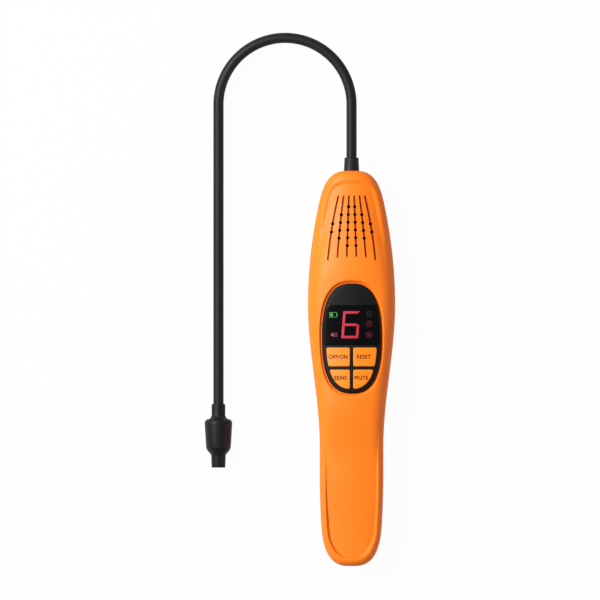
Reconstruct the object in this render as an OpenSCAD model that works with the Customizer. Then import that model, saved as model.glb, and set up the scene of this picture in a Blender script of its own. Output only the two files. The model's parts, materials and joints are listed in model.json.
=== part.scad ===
// Hand-held refrigerant leak detector: a two-shell housing, a bent gooseneck and a sensing probe.
// It lies on its back. The origin is the centre of the flat back at half the housing's length,
// +Z leaves the face and +Y points at the neck.

/* [Housing] */
// Length of the housing
body_length = 230; // [226:1:236]
// Width of the head at its widest
head_width = 50.8; // [50:0.2:54]
// Width of the grip
grip_width = 37.1; // [36.9:0.1:39]
// Height of the head's face above the back
head_height = 32; // [31.6:0.2:34]
// Height of the grip's face above the back
grip_height = 27.5; // [26:0.5:30]
// Height of the parting line above the back, also of the neck's axis
seam_height = 15; // [14.9:0.1:15.6]
// Wall of both shells
wall = 2.4; // [2.2:0.1:2.6]
// Radius of the face's crown across the width
face_radius = 60; // [58:1:80]

/* [Rim of the face] */
// Width of the raised rim round the face
rim_width = 4.2; // [3.6:0.1:5]
// Depth of the step inside the rim at the neck
neck_step = 1.5; // [0.8:0.1:1.8]
// Depth of the step inside the rim at the butt
butt_step = 1.9; // [0.8:0.1:2.2]
// Width of the rounded shoulder beside the panel
shoulder_width = 7; // [6:0.5:8]
// Height of the rounded shoulder
shoulder_height = 5; // [4:0.5:6]
// Width of the rounding between sides and back
back_width = 6.6; // [6:0.1:6.8]
// Height of the rounding between sides and back
back_height = 8; // [7:0.5:9]

/* [Control panel] */
// Distance of the panel's centre from half the housing's length
panel_y = 17.5; // [15:0.5:19]
// Length of the panel
panel_length = 64; // [62:0.5:65]
// Width of the panel
panel_width = 34.7; // [34:0.1:36]
// Thickness of the panel
panel_thickness = 1.2; // [1:0.1:1.4]
// Gap between the panel and its pocket
panel_gap = 0.5; // [0.3:0.1:0.7]
// Width of the ledge under the panel's edge
panel_ledge = 1.8; // [1.6:0.1:1.8]

/* [Keys] */
// Distance from the panel's edge to the keys
key_border = 2.6; // [2.4:0.1:3]
// Gap between the two columns of keys
key_column_gap = 1.9; // [1.8:0.1:2.4]
// Gap between the two rows of keys
key_row_gap = 1.8; // [1.8:0.1:2.4]
// Distance of the row gap from the panel's centre
key_row_drop = 17.2; // [16.5:0.1:17.6]
// Length of the upper keys
key_length = 11; // [10:0.5:12]
// Height of the keys above the panel
key_proud = 0.6; // [0.5:0.1:1]
// Corner radius of the keys
key_corner = 1; // [0.6:0.1:1.4]
// Travel of a key
key_travel = 0.5; // [0.3:0.1:0.6]
// Gap round each key
key_fit = 0.2; // [0.15:0.05:0.25]

/* [Display] */
// Length of the window along the housing
window_length = 23.4; // [22:0.2:24]
// Distance of the window's centre from the panel's centre
window_rise = 7.7; // [7.2:0.1:8.5]
// Distance from the panel's edge to the window
window_border = 1.1; // [1:0.1:1.4]
// Width of the digit's block under the window
display_width = 15; // [13:0.5:16]
// Length of the digit's block under the window
display_length = 20; // [18:0.5:22]

/* [Grille] */
// Distance of the grille's centre from the neck's end
grille_drop = 32.3; // [31:0.1:34]
// Length of a groove
groove_length = 36; // [32:1:37]
// Width of a groove and diameter of its holes
groove_width = 1.6; // [1.2:0.1:1.8]
// Depth of a groove
groove_depth = 1; // [0.6:0.1:1.2]
// Spacing of the holes along a groove
hole_pitch = 4.5; // [4:0.1:5]
// Spacing of the grooves at the neck's end
groove_pitch_top = 3; // [2.6:0.1:3.4]
// Spacing of the grooves at the panel's end
groove_pitch_bottom = 5.5; // [5:0.1:6]

/* [Gooseneck] */
// Outer diameter of the sheath
sheath_d = 6; // [5.6:0.1:6.4]
// Wall of the sheath
sheath_wall = 0.8; // [0.7:0.1:1]
// Outer diameter of the wound core
core_d = 4.2; // [3.8:0.1:4.2]
// Wall of the wound core
core_wall = 0.9; // [0.7:0.1:1]
// Diameter of the sensor's cable
cable_d = 2; // [1.6:0.1:2.2]
// Radius of the bend at the centre line
bend_radius = 38.9; // [36:0.1:44]
// Length of the straight run between the housing and the bend
neck_run = 38.5; // [30:0.5:50]
// Length of the straight run between the bend and the probe
probe_run = 174.3; // [150:0.1:190]

/* [Collar] */
// Diameter of the collar where it leaves the housing
collar_d = 9.8; // [9.4:0.1:10.4]
// Diameter of the collar's tip
collar_tip_d = 8.2; // [7.8:0.1:8.6]
// Length of the collar outside the housing
collar_length = 7.7; // [6:0.1:10]

/* [Probe] */
// Diameter of the sleeve that grips the gooseneck
sleeve_d = 8; // [7.6:0.1:8.4]
// Length of the sleeve
sleeve_length = 5.9; // [5:0.1:8]
// Length of the flare from the sleeve to the seam
flare_length = 2.8; // [2.4:0.1:4]
// Largest diameter of the probe
probe_d = 16.1; // [15.6:0.1:17]
// Length of the cap's barrel
barrel_length = 15.9; // [15:0.1:20]
// Diameter of the barrel's far end
barrel_end_d = 14.5; // [14:0.1:15]
// Length of the cone between barrel and nozzle
cone_length = 4.6; // [4:0.1:6]
// Diameter of the nozzle
nozzle_d = 8.6; // [8:0.1:9]
// Length of the nozzle
nozzle_length = 7.8; // [6:0.1:10]
// Diameter of the nozzle's air hole
air_hole_d = 3.6; // [3:0.1:3.8]

/* [Battery] */
// Diameter of a cell
cell_d = 10.5; // [10.3:0.1:10.6]
// Length of a cell without its button
cell_length = 43.7; // [43:0.1:44]
// Width of the battery door
door_width = 26; // [25.6:0.1:26.4]
// Thickness of the door's plate
door_plate = 2; // [1.8:0.1:2.2]
// Travel of the door before it lifts off
door_travel = 9; // [8:0.5:10]

/* [Board] */
// Depth of the board's upper face below the head's face
board_drop = 9; // [8.6:0.1:9.2]
// Thickness of the board
board_thickness = 1.6; // [1.2:0.1:1.6]
// Width of the board under the display
board_width = 33; // [31:0.5:34]
// Width of the board's lower tongue
tongue_width = 22.5; // [21:0.5:23]

/* [Screws] */
// Diameter of the housing screws
screw_d = 2.9; // [2.6:0.1:3]
// Head diameter of the housing screws
screw_head_d = 5.2; // [4.8:0.1:5.4]
// Outer diameter of the screw bosses
boss_d = 6.8; // [6.6:0.1:7]
// Diameter of the board screws
board_screw_d = 2.2; // [2:0.1:2.4]

/* [Hidden] */
$fn = 64;

// Overrun of every cut, and the clearance of parts that fit into each other
over = 1;
fit = 0.1;
half_length = body_length / 2;
grille_y = half_length - grille_drop;
board_top = head_height - board_drop;
head_half = head_width / 2;
grip_half = grip_width / 2;

// Places along the housing, as shares of half its length
widest_share = 0.322;
flare_share = -0.39;
butt_share = -0.52;
neck_cap_share = 0.174;
butt_cap_share = 0.235;
spine_end_share = 0.139;
// Shares of the half width that the plan loses towards each end
neck_taper_share = 0.443;
butt_taper_share = 0.146;
// Powers of the rounded ends
neck_cap_power = 3.4;
butt_cap_power = 3;

// Slopes of the face towards the ends, and the length over which a slope sets in
neck_slope = 0.125;
butt_slope = 0.055;
slope_blend = 12;
face_margin = 3;
grip_run = 38;
butt_slope_y = -58;

// Where the rim and its step set in, and how far the neck's brow is pulled in
neck_rim_y = 60;
neck_rim_run = 36;
butt_rim_y = -24;
butt_rim_run = 70;
mid_rim = 1.8;
brow = 2.9;
brow_run = 5;
step_width = 1.2;
butt_step_width = 3.2;
butt_step_run = 50;

// Number of points round the housing's plan
segments = 56;
// Lip where the shells meet
lip_height = 1.2;
lip_gap = 0.2;

panel_top_y = panel_y + panel_length / 2;
panel_bottom_y = panel_y - panel_length / 2;

function mix(a, b, t) = a + (b - a) * t;
function smooth(t) = let (c = max(0, min(1, t))) c * c * (3 - 2 * c);
function ramp(d, soft) = d <= 0 ? 0 : d < soft ? d * d / (2 * soft) : d - soft / 2;

// Plan of the housing: half its width at y
function cap_width(y) =
    let (share = y > 0 ? neck_cap_share : butt_cap_share)
    let (power = y > 0 ? neck_cap_power : butt_cap_power)
    let (s = max(0, min(1, (abs(y) / half_length - 1 + share) / share)))
    pow(1 - pow(s, power), 1 / power);

function plain_width(s) =
    s > widest_share
        ? head_half * (1 - neck_taper_share * pow((s - widest_share) / (1 - widest_share), 2))
    : s > flare_share
        ? mix(grip_half, head_half, smooth((s - flare_share) / (widest_share - flare_share)))
    : s > butt_share
        ? grip_half
    : grip_half * (1 - butt_taper_share * pow((butt_share - s) / (1 + butt_share), 2));

function half_width(y) = cap_width(y) * plain_width(y / half_length);

// Side view of the housing: height of the crown line of the face at y
function crown_height(y) =
    head_height
    - neck_slope * ramp(y - panel_top_y - face_margin, slope_blend)
    - (head_height - grip_height) * smooth((panel_bottom_y - face_margin - y) / grip_run)
    - butt_slope * ramp(butt_slope_y - y, slope_blend);

function crown_sag(x) = face_radius - sqrt(face_radius * face_radius - x * x);

// How much of the rim there is at y, from none beside the panel to all at the ends
function rim_share(y) =
    max(smooth((y - neck_rim_y) / neck_rim_run), smooth((butt_rim_y - y) / butt_rim_run));

function step_depth(y) = rim_share(y) * (y > 0 ? neck_step : butt_step);

function rim_inset(y) =
    mix(mid_rim, rim_width, rim_share(y)) + brow * smooth((y - half_length + brow_run) / brow_run);

function step_run(y) =
    y > 0 ? step_width : mix(step_width, butt_step_width, smooth((butt_slope_y - y) / butt_step_run));

function shoulder_at(y) = mix(shoulder_width, rim_width, rim_share(y));

function round_drop(d, w, h) = d >= w ? 0 : h * (1 - sqrt(max(0, 1 - pow((w - d) / w, 2))));

function face_height(x, y, d, plan_y) =
    crown_height(y) - crown_sag(x) - round_drop(d, shoulder_at(plan_y), shoulder_height);

// A point of the plan, and the point of the spine that it is drawn in towards
function plan_point(i) =
    let (a = 360 * i / segments)
    let (y = half_length * cos(a))
    [sign(sin(a)) * half_width(y), y];

function spine_point(p) =
    let (reach = half_length * (1 - spine_end_share))
    [0, max(-reach, min(reach, p.y))];

// The plan's point i, drawn in by d and then by a share: [x, y, total inset, plan y]
function drawn_in(i, d, share = 1) =
    let (p = plan_point(i))
    let (a = spine_point(p))
    let (r = norm(p - a))
    let (q = a + (p - a) * ((r - d) * share / r))
    [q.x, q.y, r - (r - d) * share, p.y];

crown_shares = [0.12, 0.42, 0.72];
rim_shares = [1, 0.62, 0.28, 0.08, 0];
inset_shares = [1, 0.3, 0];
back_shares = [1, 0.6, 0.28, 0.08, 0];

function level_ring(d, z) =
    [for (i = [0:segments - 1]) let (q = drawn_in(i, d)) [q.x, q.y, z]];

// A ring of the face at height z over the plain face, t below it and inside the rim
function sunk_ring(t, inset_share, share = 1) =
    [for (i = [0:segments - 1])
        let (plan_y = plan_point(i).y)
        let (d = t + inset_share * (rim_inset(plan_y) + step_run(plan_y)))
        let (q = drawn_in(i, d, share))
        [q.x, q.y, face_height(q.x, q.y, q.z - t / 2, plan_y) - t - step_depth(q.y)]];

function rim_ring(inset_share) =
    [for (i = [0:segments - 1])
        let (plan_y = plan_point(i).y)
        let (q = drawn_in(i, rim_inset(plan_y) * inset_share))
        [q.x, q.y, face_height(q.x, q.y, q.z, plan_y)]];

// Rings of the front shell's outside, from the middle of the face out and down to the parting line
function front_outer_rings() = [
    for (share = crown_shares) sunk_ring(0, 1, share),
    sunk_ring(0, 1),
    for (share = rim_shares) rim_ring(share),
    level_ring(0, seam_height)
];

// Rings of a surface that lies t inside the front shell
function front_inset_rings(t) = [
    for (share = crown_shares) sunk_ring(t, 1, share),
    for (share = inset_shares) sunk_ring(t, share)
];

// Rings of a surface that lies t inside the rear shell, from the flat back out to the sides
function rear_inset_rings(t) = [
    for (share = back_shares)
        let (d = t + (back_width - t) * share)
        level_ring(d, t + round_drop(d - t, back_width - t, back_height - t))
];

function turned_round(rings) = [for (n = [len(rings) - 1:-1:0]) rings[n]];

// One closed solid through a chain of rings, whose first and last ring are closed straight across
module ring_solid(rings, turned = false) {
    n = segments;
    last = (len(rings) - 1) * n;
    half = n / 2;
    across = [for (i = [0:half - 1]) each [
        if (i < half - 1) [i, i + 1, n - i - 1],
        if (i > 0) [i, i < half - 1 ? n - i - 1 : i + 1, n - i]
    ]];
    between = [for (k = [0:len(rings) - 2], i = [0:n - 1])
        let (j = (i + 1) % n)
        each [
            [k * n + i, k * n + n + i, k * n + n + j],
            [k * n + i, k * n + n + j, k * n + j]
        ]];
    closing = [for (f = across) [last + f.z, last + f.y, last + f.x]];
    faces = concat(across, between, closing);
    polyhedron(
        [for (ring = rings) each ring],
        turned ? [for (f = faces) [f.z, f.y, f.x]] : faces,
        convexity = 6
    );
}

// Outline of the control panel, drawn in by d
oval_power = 2.55;
oval_steps = 64;

function oval_points(d) =
    [for (k = [0:oval_steps - 1])
        let (a = 360 * k / oval_steps)
        let (w = panel_width / 2 - d)
        let (l = panel_length / 2 - d)
        [w * sign(cos(a)) * pow(abs(cos(a)), 2 / oval_power),
         panel_y + l * sign(sin(a)) * pow(abs(sin(a)), 2 / oval_power)]];

module oval(d) polygon(oval_points(d));

// The body under the face's crown, depth below its surface
module under_crown(depth) {
    translate([0, panel_y, head_height - face_radius])
        rotate([90, 0, 0])
            cylinder(r = face_radius - depth, h = panel_length + 2 * over, center = true, $fn = 200);
}

// A curved plate that follows the crown between two depths, with the children as its outline
module crowned_plate(depth, thickness) {
    intersection() {
        translate([0, 0, head_height - crown_sag(panel_width / 2) - depth - thickness - over])
            linear_extrude(crown_sag(panel_width / 2) + thickness + 2 * over + key_proud)
                children();
        difference() {
            under_crown(depth);
            under_crown(depth + thickness);
        }
    }
}

// Battery tray: two columns of two cells, each column with a spring at one end
cell_gap = 0.2;
cell_edge = 0.4;
button_d = 3.8;
button_length = 0.8;
contact_thickness = 0.4;
contact_width = 8;
spring_room = 3;
plate_room = 0.6;
tray_wall = 1.4;
tray_clear = 0.6;
tongue_gap = 0.3;
tongue_thickness = 1;
cell_x = (cell_d + cell_gap) / 2;
cell_z = door_plate + tongue_gap + cell_d / 2;
tray_half = cell_d + cell_gap / 2 + tray_clear + tray_wall;
tray_length = 2 * (cell_length + button_length) + spring_room + plate_room;
tray_top_y = panel_bottom_y + 6;
tray_bottom_y = tray_top_y - tray_length;
tray_roof_z = cell_z + cell_d / 2 + cell_edge;
rail_z = wall + tongue_gap;
tray_floor_z = rail_z + tongue_thickness + tongue_gap;
rib_shares = [0.2, 0.47, 0.74];

// Battery door
door_half = door_width / 2;
door_gap = 0.2;
door_skin = 1;
door_step = 2;
door_foot = 5.5;
door_foot_height = 6.5;
door_top_y = tray_top_y + door_step;
tab_half = 1.2;
tab_root = 1.3;
tab_reach = 3;
tongue_length = 10;
tongue_reach = 2.7;
tongue_inset = 0.8;
tongue_shares = [0.25, 0.72];

// Screws
neck_screw_drop = 23;
neck_screw_y = half_length - neck_screw_drop;
neck_screw_clear = 0.6;
butt_screw_rise = 6.5;
screw_head_height = 2.4;
screw_length = 17;
screw_seat_z = 6;
cross_width = 0.8;
cross_depth = 1.2;
board_screw_margin = 6;
board_screw_top_x = 13.4;
board_screw_bottom_x = 8;
board_boss_d = 5.4;
board_screw_length = 6;
board_head_d = 4.2;
board_head_height = 1.4;
housing_screw_places = [
    for (side = [-1, 1]) each [
        [side * (half_width(neck_screw_y) - wall - boss_d / 2 - neck_screw_clear), neck_screw_y],
        [side * (tray_half + boss_d / 2 - fit), panel_bottom_y + butt_screw_rise]
    ]
];
board_screw_places = [
    for (side = [-1, 1]) each [
        [side * board_screw_top_x, panel_top_y + board_screw_margin],
        [side * board_screw_bottom_x, panel_bottom_y - board_screw_margin / 2]
    ]
];

// Neck: the collar's flange sits in a groove, and the anchor in a saddle
neck_ring_d = 17;
neck_ring_length = 12;
collar_stem_d = 10;
flange_d = 14;
flange_width = 2;
flange_depth = 7;
anchor_d = 9;
anchor_length = 9;
anchor_gap = 1;
sheath_tail = 1.5;
saddle_width = 1.6;
flange_y = half_length - flange_depth;
anchor_y = flange_y - flange_width - anchor_gap - anchor_length;
saddle_y = anchor_y + anchor_length / 2 - saddle_width / 2;

// Buzzer behind the grille
buzzer_d = 22;
buzzer_height = 5.2;
buzzer_drop = 15;
buzzer_z = head_height - buzzer_drop;
speaker_wall = 1.3;
speaker_gap = 0.3;

module along_y(y) {
    translate([0, y, seam_height])
        rotate([-90, 0, 0])
            children();
}

module front_fill() {
    ring_solid(concat(front_inset_rings(wall / 2), [level_ring(wall / 2, seam_height)]));
}

module rear_outside() {
    ring_solid(concat(rear_inset_rings(0), [level_ring(0, seam_height)]), true);
}

module rear_fill() {
    lip_z = seam_height - lip_height - lip_gap;
    ring_solid(concat(rear_inset_rings(wall / 2), [
        level_ring(wall / 2, lip_z),
        level_ring(wall + lip_gap, lip_z),
        level_ring(wall + lip_gap, seam_height)
    ]), true);
}

module neck_cuts() {
    along_y(anchor_y)
        cylinder(d = anchor_d + 2 * fit, h = anchor_length + anchor_gap);
    along_y(anchor_y + anchor_length)
        cylinder(d = collar_stem_d + 2 * fit, h = half_length);
    along_y(flange_y - flange_width - fit)
        cylinder(d = flange_d + 2 * fit, h = flange_width + 2 * fit);
}

module neck_ring() {
    along_y(half_length - neck_ring_length)
        cylinder(d = neck_ring_d, h = neck_ring_length);
    translate([-neck_ring_d / 2, saddle_y, 0])
        cube([neck_ring_d, saddle_width, head_height]);
}

// Grille: six fanned grooves, bowed outwards, with rows of holes through them
groove_centres = [-2.5, -1.5, -0.5, 0.5, 1.5, 2.5];
groove_bow_shares = [0.02, 0.008, 0, 0, 0.008, 0.02];
groove_drop_shares = [0.055, 0.01, 0, 0, 0.01, 0.055];
groove_steps = 8;
// Rows of holes in each groove, counted from the grille's centre
hole_rows = [[-0.5, 0.5], [-1.5:1.5], [-2.5:2.5], [-2.5:2.5], [-1.5:1.5], [-0.5, 0.5]];

function groove_point(n, t) =
    let (spread = mix(groove_pitch_bottom, groove_pitch_top, t))
    let (bow = sign(groove_centres[n]) * groove_bow_shares[n] * groove_length * 4 * t * (1 - t))
    [groove_centres[n] * spread + bow,
     grille_y + groove_length * (t - 0.5 - groove_drop_shares[n] * (1 - t))];

module groove(n) {
    points = [for (k = [0:groove_steps]) groove_point(n, k / groove_steps)];
    side = groove_width / 2;
    linear_extrude(head_height)
        polygon(concat(
            [for (p = points) [p.x - side, p.y]],
            [for (k = [groove_steps:-1:0]) [points[k].x + side, points[k].y]]
        ));
}

// The body under the sloping crown of the neck's face, depth below its surface
module under_slope(depth) {
    y = grille_y;
    translate([0, y, crown_height(y) - step_depth(y)])
        rotate([-atan(neck_slope + neck_step / neck_rim_run), 0, 0])
            translate([0, 0, -face_radius])
                rotate([90, 0, 0])
                    cylinder(r = face_radius - depth, h = 2 * groove_length, center = true, $fn = 200);
}

module grille_cuts() {
    difference() {
        for (n = [0:len(groove_centres) - 1]) groove(n);
        under_slope(groove_depth);
    }
    for (n = [0:len(groove_centres) - 1], row = hole_rows[n]) {
        p = groove_point(n, 0.5 + row * hole_pitch / groove_length);
        translate([p.x, p.y, seam_height])
            cylinder(d = groove_width, h = head_height, $fn = 24);
    }
}

module front_housing() {
    color("darkorange")
    difference() {
        union() {
            ring_solid(concat(front_outer_rings(), [
                level_ring(wall / 2, seam_height),
                level_ring(wall / 2, seam_height - lip_height),
                level_ring(wall, seam_height - lip_height)
            ], turned_round(front_inset_rings(wall))));
            intersection() {
                front_fill();
                union() {
                    for (p = housing_screw_places)
                        translate([p.x, p.y, seam_height])
                            cylinder(d = boss_d, h = head_height);
                    for (p = board_screw_places)
                        translate([p.x, p.y, board_top])
                            cylinder(d = board_boss_d, h = head_height);
                    translate([0, grille_y, buzzer_z])
                        difference() {
                            cylinder(d = buzzer_d + 2 * (speaker_gap + speaker_wall), h = head_height);
                            translate([0, 0, -over])
                                cylinder(d = buzzer_d + 2 * speaker_gap, h = head_height + 2 * over);
                        }
                    neck_ring();
                }
            }
        }
        difference() {
            translate([0, 0, seam_height])
                linear_extrude(head_height)
                    oval(-panel_gap);
            under_crown(panel_thickness);
        }
        translate([0, 0, seam_height])
            linear_extrude(head_height)
                oval(panel_ledge);
        for (p = housing_screw_places)
            translate([p.x, p.y, seam_height - over])
                cylinder(d = screw_d + 2 * fit, h = screw_seat_z + screw_length - seam_height + 2 * over);
        for (p = board_screw_places)
            translate([p.x, p.y, board_top - over])
                cylinder(d = board_screw_d + 2 * fit, h = board_screw_length + over + fit);
        grille_cuts();
        neck_cuts();
    }
}

// Battery tray inside the rear shell: two long walls, two end walls, a roof and ribs to the sides
module tray() {
    height = tray_roof_z + tray_wall - tray_floor_z;
    length = tray_length + 2 * tray_wall;
    translate([-tray_half, tray_bottom_y - tray_wall, tray_floor_z])
        difference() {
            cube([2 * tray_half, length, height]);
            translate([tray_wall, tray_wall, -over])
                cube([2 * (tray_half - tray_wall), tray_length, height - tray_wall + over]);
        }
    for (share = rib_shares)
        translate([-head_half, tray_bottom_y + tray_length * share, tray_floor_z])
            difference() {
                cube([head_width, tray_wall, tray_roof_z - tray_floor_z]);
                translate([head_half - tray_half + tray_wall / 2, -over, -over])
                    cube([2 * tray_half - tray_wall, tray_wall + 2 * over, tray_roof_z]);
            }
}

module door_opening() {
    inner = door_half - door_step + door_gap;
    length = door_top_y + door_gap + half_length + over;
    translate([-door_half - door_gap, -half_length - over, -over])
        cube([door_width + 2 * door_gap, length, door_skin + fit + over]);
    translate([-inner, -half_length - over, -over])
        cube([2 * inner, length, rail_z + over]);
    translate([-head_half, -half_length - over, -over])
        cube([head_width, door_foot + door_gap + over, door_foot_height + door_gap + over]);
    for (share = tongue_shares)
        translate([-door_half, tongue_y(share) - door_travel - door_gap, -over])
            cube([door_width, tongue_length + 2 * door_gap, rail_z + over]);
}

function tongue_y(share) = tray_bottom_y + tray_length * share;

module rear_housing() {
    color("darkorange")
    difference() {
        union() {
            ring_solid(concat(rear_inset_rings(0), [
                level_ring(0, seam_height),
                level_ring(wall / 2 - lip_gap, seam_height),
                level_ring(wall / 2 - lip_gap, seam_height - lip_height - lip_gap),
                level_ring(wall, seam_height - lip_height - lip_gap)
            ], turned_round(rear_inset_rings(wall))), true);
            intersection() {
                rear_fill();
                union() {
                    tray();
                    for (p = housing_screw_places)
                        translate([p.x, p.y, wall / 2])
                            cylinder(d = boss_d, h = seam_height - wall / 2);
                    neck_ring();
                }
            }
        }
        door_opening();
        for (p = housing_screw_places)
            translate([p.x, p.y, -over]) {
                cylinder(d = screw_d + 4 * fit, h = seam_height + 2 * over);
                cylinder(d = screw_head_d + 4 * fit, h = screw_seat_z + over);
            }
        neck_cuts();
    }
}

// Door with a foot that wraps the butt, four tongues that run over the ledge, and a snap tab
module battery_door() {
    inner = door_half - door_step;
    length = door_top_y + half_length;
    color("darkorange")
    union() {
        intersection() {
            rear_outside();
            union() {
                translate([-door_half, -half_length, 0])
                    cube([door_width, length, door_skin]);
                translate([-inner, -half_length, 0])
                    cube([2 * inner, length, door_plate]);
                translate([-head_half, -half_length, 0])
                    cube([head_width, door_foot, door_foot_height]);
            }
        }
        for (share = tongue_shares, side = [-1, 1]) {
            reach = door_half - tongue_inset - tongue_reach;
            translate([side > 0 ? reach : -inner + door_gap, tongue_y(share), door_plate])
                cube([inner - door_gap - reach, tongue_length, rail_z + tongue_thickness - door_plate]);
            translate([side > 0 ? reach : -reach - tongue_reach, tongue_y(share), rail_z])
                cube([tongue_reach, tongue_length, tongue_thickness]);
        }
        translate([-tab_half, door_top_y - tab_root, door_plate])
            cube([2 * tab_half, tab_root - door_gap, rail_z + tongue_thickness - door_plate]);
        translate([-tab_half, door_top_y - tab_root, rail_z])
            cube([2 * tab_half, tab_root + tab_reach, tongue_thickness]);
    }
}

// Pan-headed screw with a cross recess, its head down at z = 0 and its point up
module screw(d, head_d, head_height, length) {
    difference() {
        rotate_extrude()
            polygon([
                [0, 0], [head_d / 2 - cell_edge, 0], [head_d / 2, cell_edge], [head_d / 2, head_height],
                [d / 2, head_height], [d / 2, head_height + length - d / 2], [0, head_height + length]
            ]);
        for (angle = [0, 90])
            rotate([0, 0, angle])
                translate([-head_d / 3, -cross_width / 2, -over])
                    cube([2 * head_d / 3, cross_width, cross_depth + over]);
    }
}

module housing_screws() {
    color("silver")
    for (p = housing_screw_places)
        translate([p.x, p.y, screw_seat_z - screw_head_height])
            screw(screw_d, screw_head_d, screw_head_height, screw_length);
}

module board_screws() {
    color("silver")
    for (p = board_screw_places)
        translate([p.x, p.y, board_top - board_thickness - board_head_height])
            screw(board_screw_d, board_head_d, board_head_height, board_thickness + board_screw_length - fit);
}

// Control panel and the window let into it
key_flange = 0.5;
key_flange_gap = 0.3;
key_flange_thickness = 0.8;
window_flange = 0.8;
window_clear = 0.3;
window_y = panel_y + window_rise;
key_row_y = panel_y - key_row_drop;

module window_outline(border, grow) {
    intersection() {
        oval(border);
        translate([-panel_width / 2, window_y - window_length / 2 - grow])
            square([panel_width, window_length + 2 * grow]);
    }
}

// Outline of one key: the panel's oval, cut to its quarter, with rounded corners
module key_outline(side, row, grow) {
    low = row > 0 ? key_row_y + key_row_gap / 2 : panel_bottom_y;
    high = row > 0 ? key_row_y + key_row_gap / 2 + key_length : key_row_y - key_row_gap / 2;
    near = side > 0 ? key_column_gap / 2 : -panel_width / 2;
    offset(r = key_corner + grow, $fn = 32)
        offset(delta = -key_corner)
            intersection() {
                oval(key_border);
                translate([near, low])
                    square([(panel_width - key_column_gap) / 2, high - low]);
            }
}

module control_panel() {
    color([0.13, 0.13, 0.14])
    difference() {
        crowned_plate(0, panel_thickness) oval(0);
        translate([0, 0, seam_height])
            linear_extrude(head_height)
                window_outline(window_border, 0);
        translate([0, 0, seam_height])
            linear_extrude(head_height)
                for (side = [-1, 1], row = [-1, 1]) key_outline(side, row, key_fit);
    }
}

module display_window() {
    color([0.05, 0.05, 0.06])
    union() {
        crowned_plate(0, panel_thickness) window_outline(window_border + fit, -fit);
        crowned_plate(panel_thickness, window_flange)
            window_outline(panel_ledge + window_clear, window_flange);
    }
}

// Switches and their plungers, under the middle of each key
switch_width = 6;
switch_height = 3.5;
plunger_d = 3.4;
plunger_rise = 1;
plunger_depth = 1.6;
stem_d = 3;
upper_key_share = 0.44;
lower_key_share = 0.36;
lower_key_y = 4.9;

function key_centre(side, row) = [
    side * (panel_width / 2 - key_border) * (row > 0 ? upper_key_share : lower_key_share)
        + side * key_column_gap / 2,
    row > 0 ? key_row_y + (key_row_gap + key_length) / 2 : key_row_y - key_row_gap / 2 - lower_key_y
];

module key(side, row) {
    depth = panel_thickness + key_flange_gap;
    p = key_centre(side, row);
    stem_z = board_top + switch_height + plunger_rise;
    color("orange")
    union() {
        crowned_plate(-key_proud, key_proud + depth + key_flange_thickness) key_outline(side, row, 0);
        crowned_plate(depth, key_flange_thickness) key_outline(side, row, key_flange);
        translate([p.x, p.y, stem_z])
            cylinder(d = stem_d, h = head_height - crown_sag(p.x) - depth - stem_z);
    }
}

module plunger(side, row) {
    p = key_centre(side, row);
    color("dimgray")
    translate([p.x, p.y, board_top + switch_height - plunger_depth])
        cylinder(d = plunger_d, h = plunger_depth + plunger_rise);
}

module switch(side, row) {
    p = key_centre(side, row);
    color("black")
    difference() {
        translate([p.x - switch_width / 2, p.y - switch_width / 2, board_top])
            cube([switch_width, switch_width, switch_height]);
        translate([p.x, p.y, board_top + switch_height - plunger_depth - key_travel - fit])
            cylinder(d = plunger_d + 2 * fit, h = switch_height);
    }
}

// Main board: a wide plate under the display and a narrow tongue between the lower screw bosses
board_neck_y = 2;
board_margin = 12;
chip_width = 9;
chip_height = 1.4;
socket_width = 8;
socket_length = 6;
socket_wall = 0.8;
socket_y = 56.5;
display_height = 6;
led_width = 2.6;
led_height = 5;
led_rise_shares = [-0.28, 0, 0.28];
segment_width = 1.9;
segment_depth = 0.3;
digit_width = 10.4;
digit_height = 15.7;

module main_board() {
    low = panel_bottom_y - board_screw_margin;
    high = panel_top_y + board_margin;
    color("darkgreen")
    difference() {
        translate([0, 0, board_top - board_thickness])
            linear_extrude(board_thickness)
                polygon([
                    [-tongue_width / 2, low], [tongue_width / 2, low],
                    [tongue_width / 2, board_neck_y], [board_width / 2, board_neck_y],
                    [board_width / 2, high], [-board_width / 2, high],
                    [-board_width / 2, board_neck_y], [-tongue_width / 2, board_neck_y]
                ]);
        for (p = board_screw_places)
            translate([p.x, p.y, board_top - board_thickness - over])
                cylinder(d = board_screw_d + 2 * fit, h = board_thickness + 2 * over);
    }
}

// Seven bars of the digit as shallow channels in the block's face
module digit_channels() {
    bar = digit_height / 2 - segment_width;
    for (row = [-1, 0, 1])
        translate([-digit_width / 2 + segment_width,
                   row * (digit_height - segment_width) / 2 - segment_width / 2, 0])
            cube([digit_width - 2 * segment_width, segment_width, segment_depth + over]);
    for (side = [-1, 1], row = [-1, 1])
        translate([side * (digit_width - segment_width) / 2 - segment_width / 2,
                   row * (bar + segment_width) / 2 - bar / 2 + fit / 2, 0])
            cube([segment_width, bar - fit, segment_depth + over]);
}

module led_display() {
    color([0.2, 0.2, 0.2])
    difference() {
        translate([-display_width / 2, window_y - display_length / 2, board_top])
            cube([display_width, display_length, display_height]);
        translate([0, window_y, board_top + display_height - segment_depth])
            digit_channels();
    }
}

module indicator_leds() {
    x = display_width / 2 + led_width;
    color("gainsboro")
    for (side = [-1, 1], share = led_rise_shares)
        translate([side * x - led_width / 2, window_y + share * window_length - led_width / 2, board_top])
            cube([led_width, led_width, led_height]);
}

module control_chip() {
    color([0.1, 0.1, 0.1])
    translate([-chip_width / 2, window_y - chip_width / 2, board_top - board_thickness - chip_height])
        cube([chip_width, chip_width, chip_height]);
}

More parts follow.
